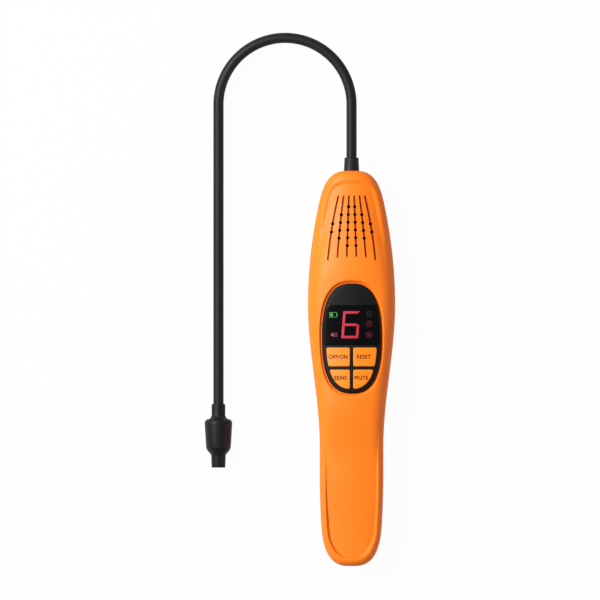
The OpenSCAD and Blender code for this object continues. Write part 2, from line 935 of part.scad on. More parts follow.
module cable_socket() {
    low = seam_height - cable_d / 2 - socket_wall;
    color("ivory")
    difference() {
        translate([-socket_width / 2, socket_y - socket_length / 2, low])
            cube([socket_width, socket_length, board_top - board_thickness - low]);
        along_y(socket_y - fit)
            cylinder(d = cable_d + 2 * fit, h = socket_length);
    }
}

module buzzer() {
    mouth = groove_width * 2;
    color([0.12, 0.12, 0.12])
    translate([0, grille_y, buzzer_z])
        difference() {
            cylinder(d = buzzer_d, h = buzzer_height);
            translate([0, 0, buzzer_height / 2])
                cylinder(d = mouth, h = buzzer_height);
        }
}

// A cell along +Y with its button at the far end
module cell() {
    rotate([-90, 0, 0])
        rotate_extrude()
            polygon([
                [0, 0], [cell_d / 2 - cell_edge, 0], [cell_d / 2, cell_edge],
                [cell_d / 2, cell_length - cell_edge], [cell_d / 2 - cell_edge, cell_length],
                [button_d / 2, cell_length], [button_d / 2, cell_length + button_length],
                [0, cell_length + button_length]
            ]);
}

// Cells 1 and 2 point up the left column, cells 3 and 4 down the right one
module battery(n) {
    pitch = cell_length + button_length;
    color("royalblue")
    if (n < 3)
        translate([-cell_x, tray_bottom_y + spring_room + (n - 1) * pitch, cell_z])
            cell();
    else
        translate([cell_x, tray_top_y - spring_room - (n - 3) * pitch, cell_z])
            rotate([0, 0, 180])
                cell();
}

// Contact plates: one bridges both columns at the butt, two stand alone at the upper end
module contact_plates() {
    color("lightgray") {
        translate([-cell_x - contact_width / 2, tray_bottom_y, cell_z - contact_width / 2])
            cube([2 * cell_x + contact_width, contact_thickness, contact_width]);
        for (side = [-1, 1])
            translate([side * cell_x - contact_width / 2, tray_top_y - contact_thickness,
                       cell_z - contact_width / 2])
                cube([contact_width, contact_thickness, contact_width]);
    }
}

// Conical coil spring along +Y, swept as one tube
spring_wire = 0.5;
spring_big_r = 3.4;
spring_small_r = 2;
spring_turns = 2.5;
spring_steps = 12;
wire_sides = 6;

module coil_spring(length) {
    rings = spring_turns * spring_steps;
    r = spring_wire / 2;
    rise = length - spring_wire;
    points = [for (k = [0:rings], side = [0:wire_sides - 1])
        let (turn = 360 * k / spring_steps)
        let (round = 360 * side / wire_sides)
        let (radius = mix(spring_big_r, spring_small_r, k / rings) + r * cos(round))
        [radius * cos(turn), r + rise * k / rings + r * sin(round), radius * sin(turn)]];
    sides = [for (k = [0:rings - 1], side = [0:wire_sides - 1])
        let (next = (side + 1) % wire_sides)
        let (a = k * wire_sides)
        each [
            [a + side, a + wire_sides + next, a + next],
            [a + side, a + wire_sides + side, a + wire_sides + next]
        ]];
    first = [[for (side = [0:wire_sides - 1]) side]];
    end = [[for (side = [wire_sides - 1:-1:0]) rings * wire_sides + side]];
    polyhedron(points, concat(first, sides, end));
}

module contact_springs() {
    length = spring_room - contact_thickness - fit;
    color("lightgray") {
        translate([-cell_x, tray_bottom_y + contact_thickness + fit / 2, cell_z])
            coil_spring(length);
        translate([cell_x, tray_top_y - contact_thickness - fit / 2, cell_z])
            rotate([0, 0, 180])
                coil_spring(length);
    }
}

// Gooseneck: it leaves the housing along the neck's axis and bends back in a plane through it.
// The plane is turned about that axis until the probe lies on the same table as the back.
bend_y = half_length + neck_run;
probe_x = -2 * bend_radius;
probe_top_y = bend_y - probe_run;
neck_tilt = asin((seam_height - probe_d / 2) / (2 * bend_radius));
sheath_start_y = anchor_y + sheath_tail;
core_tail = 1;
spigot_length = 5.3;
spigot_d = 11.2;

module in_neck_plane() {
    translate([0, 0, seam_height])
        rotate([0, -neck_tilt, 0])
            children();
}

// A round bar that runs from start_y up the neck, round the bend and down to end_y
module neck_bar(d, start_y, end_y) {
    translate([0, start_y, 0])
        rotate([-90, 0, 0])
            cylinder(d = d, h = bend_y - start_y);
    translate([-bend_radius, bend_y, 0])
        rotate_extrude(angle = 180, $fn = 128)
            translate([bend_radius, 0])
                circle(d = d);
    translate([probe_x, end_y, 0])
        rotate([-90, 0, 0])
            cylinder(d = d, h = bend_y - end_y);
}

module neck_tube(d, bore, start_y, end_y) {
    difference() {
        neck_bar(d, start_y, end_y);
        neck_bar(bore, start_y - over, end_y - over);
    }
}

module gooseneck_sheath() {
    color([0.12, 0.12, 0.12])
    in_neck_plane()
        neck_tube(sheath_d, sheath_d - 2 * sheath_wall, sheath_start_y, probe_top_y - sleeve_length);
}

module gooseneck_core() {
    color("slategray")
    in_neck_plane()
        neck_tube(core_d, core_d - 2 * core_wall, sheath_start_y - core_tail, probe_top_y - sleeve_length);
}

module sensor_cable() {
    color("maroon")
    in_neck_plane()
        neck_bar(cable_d, socket_y, probe_top_y - socket_t + fit);
}

module gooseneck_collar() {
    color([0.14, 0.15, 0.17])
    along_y(flange_y - flange_width)
        rotate_extrude()
            polygon([
                [sheath_d / 2 + fit / 2, 0], [flange_d / 2, 0], [flange_d / 2, flange_width],
                [collar_stem_d / 2, flange_width], [collar_stem_d / 2, flange_width + flange_depth],
                [collar_d / 2, flange_width + flange_depth],
                [collar_tip_d / 2, flange_width + flange_depth + collar_length - cell_edge],
                [collar_tip_d / 2 - cell_edge, flange_width + flange_depth + collar_length],
                [sheath_d / 2 + fit / 2, flange_width + flange_depth + collar_length]
            ]);
}

// Ferrule crimped on the sheath's end, with two crimped waists
module gooseneck_anchor() {
    waist = anchor_d / 2 - cell_edge;
    color("silver")
    along_y(anchor_y)
        rotate_extrude()
            polygon([
                [sheath_d / 2 + fit / 2, 0], [waist, 0], [anchor_d / 2, cell_edge],
                [anchor_d / 2, anchor_length / 4], [waist, anchor_length / 3],
                [anchor_d / 2, anchor_length / 2 - saddle_width / 2],
                [anchor_d / 2, anchor_length / 2 + saddle_width / 2], [waist, 2 * anchor_length / 3],
                [anchor_d / 2, 3 * anchor_length / 4], [anchor_d / 2, anchor_length - cell_edge],
                [waist, anchor_length], [sheath_d / 2 + fit / 2, anchor_length]
            ]);
}

// Probe: every piece is turned about the gooseneck's far end, t runs away from its top edge
seam_t = sleeve_length + flare_length;
socket_t = seam_t + 3.4;
socket_d = 8.4;
socket_depth = 3;
pin_d = 0.6;
pin_length = 1.8;
pin_ring = 2.4;
sensor_d = 8;
sensor_length = 4.8;
seal_d = 1.2;
seal_t = seam_t + 2.6;
seam_d = 12.4;
sleeve_edge = 0.9;
cap_mouth = 0.15;
filter_t = seam_t + barrel_length - 2.6;
filter_thickness = 1;
flare_steps = 6;
shoulder_length = 2.5;

module along_probe() {
    in_neck_plane()
        translate([probe_x, probe_top_y, 0])
            rotate([90, 0, 0])
                children();
}

// Concave flare from the sleeve to the seam, and convex shoulder from the seam to the barrel
flare_points = [for (k = [1:flare_steps])
    let (a = 90 * k / flare_steps)
    [sleeve_d / 2 + (seam_d - sleeve_d) / 2 * (1 - cos(a)), sleeve_length + flare_length * sin(a)]];
shoulder_points = [for (k = [0:flare_steps])
    let (a = 90 * k / flare_steps)
    [seam_d / 2 + (probe_d - seam_d) / 2 * sin(a), seam_t + cap_mouth + shoulder_length * (1 - cos(a))]];

module probe_holder() {
    bore = sheath_d / 2 + fit / 2;
    spigot_end = seam_t + spigot_length;
    groove = seal_d / 2 + fit;
    color([0.16, 0.16, 0.17])
    along_probe()
        difference() {
            rotate_extrude()
                polygon(concat(
                    [[0, 0], [sleeve_d / 2 - sleeve_edge, 0], [sleeve_d / 2, sleeve_edge],
                     [sleeve_d / 2, sleeve_length]],
                    flare_points,
                    [[spigot_d / 2, seam_t], [spigot_d / 2, seal_t - groove],
                     [spigot_d / 2 - seal_d + fit, seal_t - groove],
                     [spigot_d / 2 - seal_d + fit, seal_t + groove], [spigot_d / 2, seal_t + groove],
                     [spigot_d / 2, spigot_end], [0, spigot_end]]
                ));
            translate([0, 0, -over])
                cylinder(r = bore, h = sleeve_length + over + fit);
            cylinder(d = cable_d + 2 * fit, h = spigot_end);
            translate([0, 0, socket_t])
                cylinder(d = socket_d + 2 * fit, h = spigot_end);
        }
}

module probe_seal() {
    color([0.05, 0.05, 0.05])
    along_probe()
        translate([0, 0, seal_t])
            rotate_extrude()
                translate([spigot_d / 2 + fit - seal_d / 2, 0])
                    circle(d = seal_d, $fn = 32);
}

module sensor_socket() {
    color("saddlebrown")
    along_probe()
        translate([0, 0, socket_t]) {
            cylinder(d = socket_d, h = socket_depth);
            for (angle = [45:90:315])
                rotate([0, 0, angle])
                    translate([pin_ring, 0, socket_depth - fit])
                        cylinder(d = pin_d, h = pin_length + fit, $fn = 16);
        }
}

module sensor_element() {
    rim = sensor_d / 2;
    color("goldenrod")
    along_probe()
        translate([0, 0, socket_t + socket_depth + pin_length])
            rotate_extrude()
                polygon([
                    [0, 0], [rim, 0], [rim, cell_edge], [rim - cell_edge, 2 * cell_edge],
                    [rim - cell_edge, sensor_length - cell_edge], [rim - 2 * cell_edge, sensor_length],
                    [pin_ring, sensor_length], [pin_ring, sensor_length - cell_edge], [0, sensor_length - cell_edge]
                ]);
}

// Cap with its barrel, cone and nozzle: it pulls off the spigot
module probe_cap() {
    mouth = seam_t + cap_mouth;
    barrel_end = seam_t + barrel_length;
    nozzle_start = barrel_end + cone_length;
    tip = nozzle_start + nozzle_length;
    inner = spigot_d / 2 + seal_d / 6;
    color([0.12, 0.12, 0.12])
    along_probe()
        difference() {
            rotate_extrude()
                polygon(concat(
                    [[0, mouth]],
                    shoulder_points,
                    [[barrel_end_d / 2, barrel_end - sleeve_edge],
                     [barrel_end_d / 2 - sleeve_edge, barrel_end + sleeve_edge],
                     [nozzle_d / 2, nozzle_start], [nozzle_d / 2 - fit, tip - cell_edge],
                     [nozzle_d / 2 - cell_edge, tip], [0, tip]]
                ));
            translate([0, 0, mouth - over])
                cylinder(r = inner, h = barrel_end - mouth + over);
            translate([0, 0, barrel_end - fit])
                cylinder(r1 = inner, r2 = air_hole_d / 2, h = cone_length);
            translate([0, 0, barrel_end])
                cylinder(d = air_hole_d, h = cone_length + nozzle_length + over);
        }
}

module filter_disc() {
    color("whitesmoke")
    along_probe()
        translate([0, 0, filter_t])
            cylinder(d = spigot_d + seal_d / 3 - 2 * fit, h = filter_thickness);
}

front_housing();
rear_housing();
battery_door();
housing_screws();
control_panel();
display_window();
key(-1, 1);  // power_key
key(1, 1);  // reset_key
key(-1, -1);  // sensitivity_key
key(1, -1);  // mute_key
plunger(-1, 1);  // power_plunger
plunger(1, 1);  // reset_plunger
plunger(-1, -1);  // sensitivity_plunger
plunger(1, -1);  // mute_plunger
switch(-1, 1);  // power_switch
switch(1, 1);  // reset_switch
switch(-1, -1);  // sensitivity_switch
switch(1, -1);  // mute_switch
main_board();
board_screws();
led_display();
indicator_leds();
control_chip();
cable_socket();
buzzer();
battery(1);  // battery_1
battery(2);  // battery_2
battery(3);  // battery_3
battery(4);  // battery_4
contact_plates();
contact_springs();
gooseneck_collar();
gooseneck_anchor();
gooseneck_sheath();
gooseneck_core();
sensor_cable();
probe_holder();
probe_seal();
sensor_socket();
sensor_element();
filter_disc();
probe_cap();
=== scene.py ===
# %% [markdown]
# # A hand-held leak detector
#
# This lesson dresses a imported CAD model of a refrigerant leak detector: an orange waisted housing with
# a black control panel, and a black gooseneck that bends back to a sensing probe. The CAD model fixes
# where everything is. Blender adds smooth skins, small edges, printed marks, materials and light.
# Each step has a text cell that explains it, and short code cells that print what they made.

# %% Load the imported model
import json
import math

import bmesh
import bpy
from mathutils import Matrix, Vector


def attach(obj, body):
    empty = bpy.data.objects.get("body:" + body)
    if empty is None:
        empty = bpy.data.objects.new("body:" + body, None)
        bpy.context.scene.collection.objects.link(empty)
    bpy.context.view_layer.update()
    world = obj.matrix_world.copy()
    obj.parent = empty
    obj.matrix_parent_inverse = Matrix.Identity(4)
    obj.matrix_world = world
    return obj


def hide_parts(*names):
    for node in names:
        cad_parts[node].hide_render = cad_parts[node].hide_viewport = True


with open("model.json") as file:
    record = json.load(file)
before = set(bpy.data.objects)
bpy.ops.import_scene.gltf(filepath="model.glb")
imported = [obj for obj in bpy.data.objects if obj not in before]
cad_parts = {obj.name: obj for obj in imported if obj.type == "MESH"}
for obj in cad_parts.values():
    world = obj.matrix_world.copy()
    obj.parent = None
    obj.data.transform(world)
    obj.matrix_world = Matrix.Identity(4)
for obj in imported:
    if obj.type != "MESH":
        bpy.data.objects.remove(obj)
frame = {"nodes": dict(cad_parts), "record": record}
bpy.context.view_layer.update()
nodes = frame["nodes"]
scene = bpy.context.scene

# %% [markdown]
# ## Sizes
#
# The housing follows a rule: its outline, the height of its face and the step inside its rim are all
# functions of the place along its length. The same rule shapes the CAD solids, in millimetres. Here it
# is written once more, so that each skin can be drawn with many more points than a solid needs.

# %% Sizes of the housing, in millimetres
MM = 0.001
HALF_LENGTH = 115.0
HEAD_HALF, GRIP_HALF = 25.4, 18.55
HEAD_HEIGHT, GRIP_HEIGHT = 32.0, 27.5
SEAM_HEIGHT = 15.0
WALL = 2.4
FACE_RADIUS, NECK_RADIUS, CHEEK_SLOPE = 60.0, 30.0, 0.5
RIM_WIDTH, MID_RIM, NECK_RIM, BROW = 4.2, 1.8, 3.0, 2.3
NECK_STEP, BUTT_STEP = 1.05, 2.3
SHOULDER_WIDTH, SHOULDER_HEIGHT, WIDE_SHOULDER = 8.0, 7.0, 11.0
NECK_HEIGHT, BUTT_HEIGHT = 3.6, 5.0
BACK_WIDTH, BACK_HEIGHT = 6.6, 8.0

PANEL_Y, PANEL_LENGTH, PANEL_WIDTH = 17.5, 64.0, 34.7
PANEL_THICKNESS, PANEL_GAP, PANEL_LEDGE = 1.2, 0.5, 1.8
PANEL_TOP_Y = PANEL_Y + PANEL_LENGTH / 2
PANEL_BOTTOM_Y = PANEL_Y - PANEL_LENGTH / 2


# %% The rule of the housing's shape
def mix(a, b, t):
    return a + (b - a) * t


def smooth(t):
    c = max(0.0, min(1.0, t))
    return c * c * (3 - 2 * c)


def ramp(d, soft):
    return 0.0 if d <= 0 else d * d / (2 * soft) if d < soft else d - soft / 2


def cap_width(y):
    share, power = (0.174, 3.4) if y > 0 else (0.235, 3.0)
    s = max(0.0, min(1.0, (abs(y) / HALF_LENGTH - 1 + share) / share))
    return (1 - s ** power) ** (1 / power)


def half_width(y):
    s = y / HALF_LENGTH
    if s > 0.322:
        plain = HEAD_HALF * (1 - 0.443 * ((s - 0.322) / 0.678) ** 2)
    elif s > -0.39:
        plain = mix(GRIP_HALF, HEAD_HALF, smooth((s + 0.39) / 0.712))
    elif s > -0.52:
        plain = GRIP_HALF
    else:
        plain = GRIP_HALF * (1 - 0.146 * ((-0.52 - s) / 0.48) ** 2)
    return cap_width(y) * plain


def crown_height(y):
    to_neck = 0.125 * ramp(y - PANEL_TOP_Y - 3, 12)
    to_grip = (HEAD_HEIGHT - GRIP_HEIGHT) * smooth((PANEL_BOTTOM_Y - 3 - y) / 38)
    return HEAD_HEIGHT - to_neck - to_grip - 0.055 * ramp(-58 - y, 12)


def crown_sag(x, y):
    """How far the crown lies below the middle at x: round first, and then a straight cheek."""
    radius = mix(FACE_RADIUS, NECK_RADIUS, smooth((y - 52) / 30))
    bend = min(abs(x), 0.45 * radius)
    return radius - math.sqrt(radius ** 2 - bend ** 2) + CHEEK_SLOPE * (abs(x) - bend)


def rim_share(y):
    return max(smooth((y - 60) / 36), smooth((-24 - y) / 70))


def step_depth(y):
    return NECK_STEP * smooth((y - 54) / 30) if y > 0 else BUTT_STEP * smooth((-24 - y) / 76)


def rim_inset(y):
    if y > 0:
        return mix(MID_RIM, NECK_RIM, smooth(y / 40)) + BROW * smooth((y - HALF_LENGTH + 10) / 10)
    return mix(MID_RIM, 3.0, smooth((-24 - y) / 34)) + (RIM_WIDTH - 3.0) * smooth((-98 - y) / 15)


def step_run(y):
    return mix(1.2, 2.8, smooth(y / 40)) if y > 0 else mix(1.2, 1.9, smooth((-70 - y) / 40))


def shoulder_at(y):
    width = mix(SHOULDER_WIDTH, WIDE_SHOULDER, smooth((y - 46) / 10))
    end_height, share = (NECK_HEIGHT, rim_share(y)) if y > 0 else (BUTT_HEIGHT, smooth((-14 - y) / 60))
    return mix(width, RIM_WIDTH, share), mix(SHOULDER_HEIGHT, end_height, share)


def round_drop(d, width, height):
    if d >= width:
        return 0.0
    return height * (1 - math.sqrt(max(0.0, 1 - ((width - d) / width) ** 2)))


def face_z(x, y, d, plan_y, t=0.0):
    """Height of the face at (x, y), d in from the outline, and t below the surface."""
    step = step_depth(y) * smooth((d - t - rim_inset(plan_y)) / step_run(plan_y))
    return crown_height(y) - crown_sag(x, y) - round_drop(d - t / 2, *shoulder_at(plan_y)) - step - t


print("half width at the head, grip and butt:", [round(half_width(y), 2) for y in (37, -50, -100)])

# %% [markdown]
# ## Skins made of rings
#
# Both shells are stacks of closed rings. Every ring follows the outline of the housing and is drawn in
# towards the housing's spine, as contour lines are on a map. Joining each ring to the next with quads
# gives a clean skin whose edge loops run along the rim, which shades better than a grid would.


# %% Rings that follow the outline
SEGMENTS = 288
SPINE_REACH = HALF_LENGTH * 0.861


def plan_point(i):
    a = 2 * math.pi * i / SEGMENTS
    y = HALF_LENGTH * math.cos(a)
    side = 0 if 2 * i % SEGMENTS == 0 else math.copysign(1, math.sin(a))
    return side * half_width(y), y


PLAN = [plan_point(i) for i in range(SEGMENTS)]


def drawn_in(i, d, share=1.0):
    """The outline's point i, drawn in by d and then by a share: x, y, whole inset, outline's y."""
    px, py = PLAN[i]
    ay = max(-SPINE_REACH, min(SPINE_REACH, py))
    r = math.hypot(px, py - ay)
    k = (r - d) * share / r
    return px * k, ay + (py - ay) * k, r - (r - d) * share, py


def level_ring(d, z):
    return [(*drawn_in(i, d)[:2], z) for i in range(SEGMENTS)]


def face_ring(rim=0.0, step=0.0, share=1.0, t=0.0):
    """A ring of the face: rim and step say how far across the rim and its step it runs."""
    ring = []
    for i in range(SEGMENTS):
        plan_y = PLAN[i][1]
        d = t + rim * rim_inset(plan_y) + step * step_run(plan_y)
        x, y, inset, _ = drawn_in(i, d, share)
        ring.append((x, y, face_z(x, y, inset, plan_y, t)))
    return ring


def back_ring(share, t=0.0):
    d = t + (BACK_WIDTH - t) * share
    return level_ring(d, t + round_drop(d - t, BACK_WIDTH - t, BACK_HEIGHT - t))


# %% From rings to meshes
def new_piece(name, points, faces, angle=32):
    """A smooth-shaded piece from points in millimetres, sharp where faces meet at more than angle."""
    mesh = bpy.data.meshes.new(name)
    mesh.from_pydata([(x * MM, y * MM, z * MM) for x, y, z in points], [], faces)
    return finish_piece(name, mesh, angle)


def finish_piece(name, mesh, angle=32):
    bm = bmesh.new()
    bm.from_mesh(mesh)
    bmesh.ops.remove_doubles(bm, verts=bm.verts, dist=1e-7)
    bmesh.ops.recalc_face_normals(bm, faces=bm.faces)
    bm.to_mesh(mesh)
    bm.free()
    mesh.shade_smooth()
    mesh.set_sharp_from_angle(angle=math.radians(angle))
    piece = bpy.data.objects.new(name, mesh)
    scene.collection.objects.link(piece)
    return piece


def stacked(rings):
    """Points and quads of a tube through the rings, open at both ends."""
    n = len(rings[0])
    points = [p for ring in rings for p in ring]
    faces = []
    for k in range(len(rings) - 1):
        for i in range(n):
            j = (i + 1) % n
            faces.append((k * n + i, k * n + n + i, k * n + n + j, k * n + j))
    return points, faces


def ladder(n, start=0):
    """Faces that close a ring straight across, from one long side to the other."""
    faces = [(start, start + 1, start + n - 1)]
    for i in range(1, n // 2 - 1):
        faces.append((start + i, start + i + 1, start + n - i - 1, start + n - i))
    faces.append((start + n // 2 - 1, start + n // 2, start + n // 2 + 1))
    return faces


def closed_rings(rings):
    points, faces = stacked(rings)
    n = len(rings[0])
    return points, faces + ladder(n) + ladder(n, len(points) - n)


# %% [markdown]
# ## Front shell
#
# On the real detector the front shell is one moulding with an even wall. The skin is drawn in three
# parts: from the parting line up over the raised rim, down the step, and in across the crowned face to
# the spine. The inside follows 2.4 mm below, so the grille's holes show a real wall.

# %% Front shell, outside and inside
SEAM_CHAMFER = 0.3
RIM_SHARES = [0, 0.01, 0.04, 0.09, 0.16, 0.25, 0.36, 0.5, 0.66, 0.84, 1]
STEP_SHARES = [0.14, 0.28, 0.42, 0.58, 0.72, 0.86, 1]
FACE_SHARES = [0.975, 0.95, 0.92, 0.89, 0.86, 0.82, 0.78, 0.73, 0.67, 0.6, 0.52, 0.43, 0.33, 0.22, 0.12, 0.04]

front_rings = [level_ring(WALL, SEAM_HEIGHT), level_ring(SEAM_CHAMFER, SEAM_HEIGHT)]
front_rings += [level_ring(0, SEAM_HEIGHT + z) for z in (SEAM_CHAMFER, 0.7)]
front_rings += [face_ring(rim=s) for s in RIM_SHARES]
front_rings += [face_ring(rim=1, step=s) for s in STEP_SHARES]
front_rings += [face_ring(rim=1, step=1, share=s) for s in FACE_SHARES]
inner_rings = [face_ring(rim=1, step=1, share=s, t=WALL) for s in reversed(FACE_SHARES)]
inner_rings += [face_ring(rim=1, step=1, t=WALL), face_ring(rim=0.5, t=WALL), face_ring(t=WALL)]
inner_rings.append(level_ring(WALL, SEAM_HEIGHT))


def shell_mesh(outer, inner):
    """A closed wall: the outer rings in to the spine, then the inner rings out again."""
    outside, faces = stacked(outer)
    inside, more = stacked(inner)
    n, shift = SEGMENTS, len(outside)
    faces += [tuple(i + shift for i in face) for face in more]
    faces += ladder(n, len(outside) - n) + ladder(n, shift)
    return outside + inside, faces


front_shell = new_piece("front_shell", *shell_mesh(front_rings, inner_rings))
print("front shell before its cuts:", len(front_shell.data.polygons), "faces")

# %% [markdown]
# ## The panel's pocket
#
# The panel is a superellipse, fuller than an oval. It is let into the face with a gap of half a
# millimetre, which the photograph shows as a fine line, dark on one side and bright on the other.
# A cutter with a small flare at its mouth rounds the pocket's edge as it cuts.


# %% Oval outlines and the pocket's cutter
OVAL_POWER, OVAL_STEPS = 2.55, 192


def oval(d, steps=OVAL_STEPS):
    w, l = PANEL_WIDTH / 2 - d, PANEL_LENGTH / 2 - d
    points = []
    for k in range(steps):
        a = 2 * math.pi * k / steps
        c, s = math.cos(a), math.sin(a)
        points.append((math.copysign(abs(c) ** (2 / OVAL_POWER), c) * w,
                       PANEL_Y + math.copysign(abs(s) ** (2 / OVAL_POWER), s) * l))
    return points


def crown_z(x, depth=0.0):
    """Height of the face's crown beside the panel, depth below its surface."""
    return HEAD_HEIGHT - FACE_RADIUS + math.sqrt((FACE_RADIUS - depth) ** 2 - x * x)


def crowned(outline, depth):
    return [(x, y, crown_z(x, depth)) for x, y in outline]


def filled(rings, shares=(0.8, 0.6, 0.4, 0.2)):
    """Rings closed at both ends by smaller rings round the last one's centre, each on its crown."""
    points, faces = stacked(rings)
    n = len(rings[0])
    for ring, base, up in ((rings[0], 0, False), (rings[-1], len(points) - n, True)):
        cx, cy = (sum(p[a] for p in ring) / n for a in (0, 1))
        rise = ring[0][2] - crown_z(ring[0][0])
        previous = base
        for share in shares:
            start = len(points)
            for x, y, _ in ring:
                qx, qy = mix(cx, x, share), mix(cy, y, share)
                points.append((qx, qy, crown_z(qx) + rise))
            for i in range(n):
                j = (i + 1) % n
                quad = (previous + i, start + i, start + j, previous + j)
                faces.append(quad if up else quad[::-1])
            previous = start
        centre = len(points)
        points.append((cx, cy, crown_z(cx) + rise))
        for i in range(n):
            tri = (previous + i, centre, previous + (i + 1) % n)
            faces.append(tri if up else tri[::-1])
    return points, faces


POCKET_FLARE = [(2.3, 0.4), (1.86, 0.05), (1.74, -0.02), (1.62, -0.12), (1.0, -0.9), (0.3, -1.8), (0.1, -1.85),
                (-0.2, -1.8), (-0.3, -PANEL_THICKNESS)]
pocket = new_piece("pocket_cutter", *filled(
    [crowned(oval(-out), -up) for out, up in POCKET_FLARE]))
opening = new_piece("opening_cutter", *filled(
    [crowned(oval(PANEL_LEDGE), depth) for depth in (-1, 4)]))
print("pocket cutter:", len(pocket.data.vertices), "points")

# %% [markdown]
# ## The grille
#
# The speaker sits behind six fanned grooves with a row of round holes in each. The grooves follow a
# path and the holes repeat, so Geometry Nodes make both cutters: one tree sweeps a groove's section
# along the paths, the other sets a round punch on every point. A Boolean modifier then cuts them out.


# %% Paths of the grooves and places of the holes
GROOVE_LENGTH, GROOVE_WIDTH, GROOVE_DEPTH = 36.0, 1.6, 1.0
GRILLE_Y = HALF_LENGTH - 32.3
HOLE_PITCH, PITCH_TOP, PITCH_BOTTOM = 4.5, 3.0, 5.5
CENTRES = [-2.5, -1.5, -0.5, 0.5, 1.5, 2.5]
BOWS = [0.02, 0.008, 0, 0, 0.008, 0.02]
DROPS = [0.055, 0.01, 0, 0, 0.01, 0.055]
HOLE_ROWS = [2, 4, 6, 6, 4, 2]


def groove_point(n, t):
    spread = mix(PITCH_BOTTOM, PITCH_TOP, t)
    bow = math.copysign(BOWS[n] * GROOVE_LENGTH * 4 * t * (1 - t), CENTRES[n])
    x = CENTRES[n] * spread + bow
    y = GRILLE_Y + GROOVE_LENGTH * (t - 0.5 - DROPS[n] * (1 - t))
    return x, y, crown_height(y) - crown_sag(x, y) - step_depth(y)


END_STEPS = [0, 0.05, 0.12, 0.22, 0.36, 0.54, 0.8]
PATH_STEPS = sorted([d / GROOVE_LENGTH for d in END_STEPS] + [1 - d / GROOVE_LENGTH for d in END_STEPS]
                    + [k / 32 for k in range(1, 32)])
groove_paths = [[groove_point(n, t) for t in PATH_STEPS] for n in range(6)]
hole_places = [groove_point(n, 0.5 + (row - (rows - 1) / 2) * HOLE_PITCH / GROOVE_LENGTH)
               for n, rows in enumerate(HOLE_ROWS) for row in range(rows)]
print("grooves:", len(groove_paths), "holes:", len(hole_places))


# %% Helpers for node trees
def node_tree(name, inputs):
    """A geometry tree with one geometry output, and its inputs given as (name, kind, default)."""
    tree = bpy.data.node_groups.new(name, "GeometryNodeTree")
    tree.interface.new_socket("Geometry", in_out="OUTPUT", socket_type="NodeSocketGeometry")
    tree.interface.new_socket("Geometry", in_out="INPUT", socket_type="NodeSocketGeometry")
    for label, kind, default in inputs:
        socket = tree.interface.new_socket(label, in_out="INPUT", socket_type="NodeSocket" + kind)
        if default is not None:
            socket.default_value = default
    start = tree.nodes.new("NodeGroupInput")
    end = tree.nodes.new("NodeGroupOutput")
    return tree, start, end


def chain(tree, *links):
    """Joins sockets in pairs."""
    for source, target in links:
        tree.links.new(source, target)


def closed_off(tree, source, material, end):
    """Ends a tree in Realize Instances and Set Material."""
    realize = tree.nodes.new("GeometryNodeRealizeInstances")
    paint = tree.nodes.new("GeometryNodeSetMaterial")
    chain(tree, (source, realize.inputs[0]), (realize.outputs[0], paint.inputs["Geometry"]),
          (material, paint.inputs["Material"]), (paint.outputs[0], end.inputs[0]))


def grown(name, seed_mesh, tree, values, angle=32):
    """A plain mesh piece that the tree makes from the seed mesh with the given input values."""
    seed = bpy.data.objects.new(name + "_seed", seed_mesh)
    scene.collection.objects.link(seed)
    modifier = seed.modifiers.new(tree.name, "NODES")
    modifier.node_group = tree
    for item in tree.interface.items_tree:
        if item.item_type == "SOCKET" and item.in_out == "INPUT" and item.name in values:
            modifier[item.identifier] = values[item.name]
    graph = bpy.context.evaluated_depsgraph_get()
    mesh = bpy.data.meshes.new_from_object(seed.evaluated_get(graph))
    mesh.name = name
    seed.modifiers.clear()
    bpy.data.objects.remove(seed)
    return finish_piece(name, mesh, angle)


def points_mesh(name, points, edges=()):
    mesh = bpy.data.meshes.new(name)
    mesh.from_pydata([(x * MM, y * MM, z * MM) for x, y, z in points], list(edges), [])
    return mesh


# %% The tree that sweeps a section along paths
def wire(tree, kind, **sockets):
    """A node with its sockets set: a socket's output is linked, and any other value is written."""
    node = tree.nodes.new(kind)
    for label, value in sockets.items():
        socket = node.inputs[int(label[1:]) if label[0] == "i" and label[1:].isdigit() else label]
        if isinstance(value, bpy.types.NodeSocket):
            tree.links.new(value, socket)
        else:
            socket.default_value = value
    return node


def maths(tree, operation, a, b=0.0):
    node = wire(tree, "ShaderNodeMath", i0=a, i1=b)
    node.operation = operation
    return node.outputs[0]


def sweep_tree():
    tree, start, end = node_tree("sweep_along_paths", [
        ("Section", "Object", None), ("Material", "Material", None), ("Rounded End", "Float", 0.8 * MM)])
    path = wire(tree, "GeometryNodeMeshToCurve", Mesh=start.outputs["Geometry"])
    upright = wire(tree, "GeometryNodeSetCurveNormal", Curve=path.outputs[0])
    upright.mode = "Z_UP"
    info = wire(tree, "GeometryNodeObjectInfo", Object=start.outputs["Section"])
    section = wire(tree, "GeometryNodeMeshToCurve", Mesh=info.outputs["Geometry"])
    along = tree.nodes.new("GeometryNodeSplineParameter").outputs["Length"]
    whole = tree.nodes.new("GeometryNodeSplineLength").outputs["Length"]
    near_end = maths(tree, "MINIMUM", along, maths(tree, "SUBTRACT", whole, along))
    share = maths(tree, "MINIMUM", maths(tree, "DIVIDE", near_end, start.outputs["Rounded End"]), 1.0)
    missing = maths(tree, "SUBTRACT", 1.0, share)
    scale = maths(tree, "SQRT", maths(tree, "SUBTRACT", 1.0, maths(tree, "MULTIPLY", missing, missing)))
    floor = maths(tree, "MAXIMUM", scale, 0.02)
    swept = wire(tree, "GeometryNodeCurveToMesh", **{
        "Curve": upright.outputs[0], "Profile Curve": section.outputs[0], "Scale": floor, "Fill Caps": True})
    closed_off(tree, swept.outputs[0], start.outputs["Material"], end)
    return tree


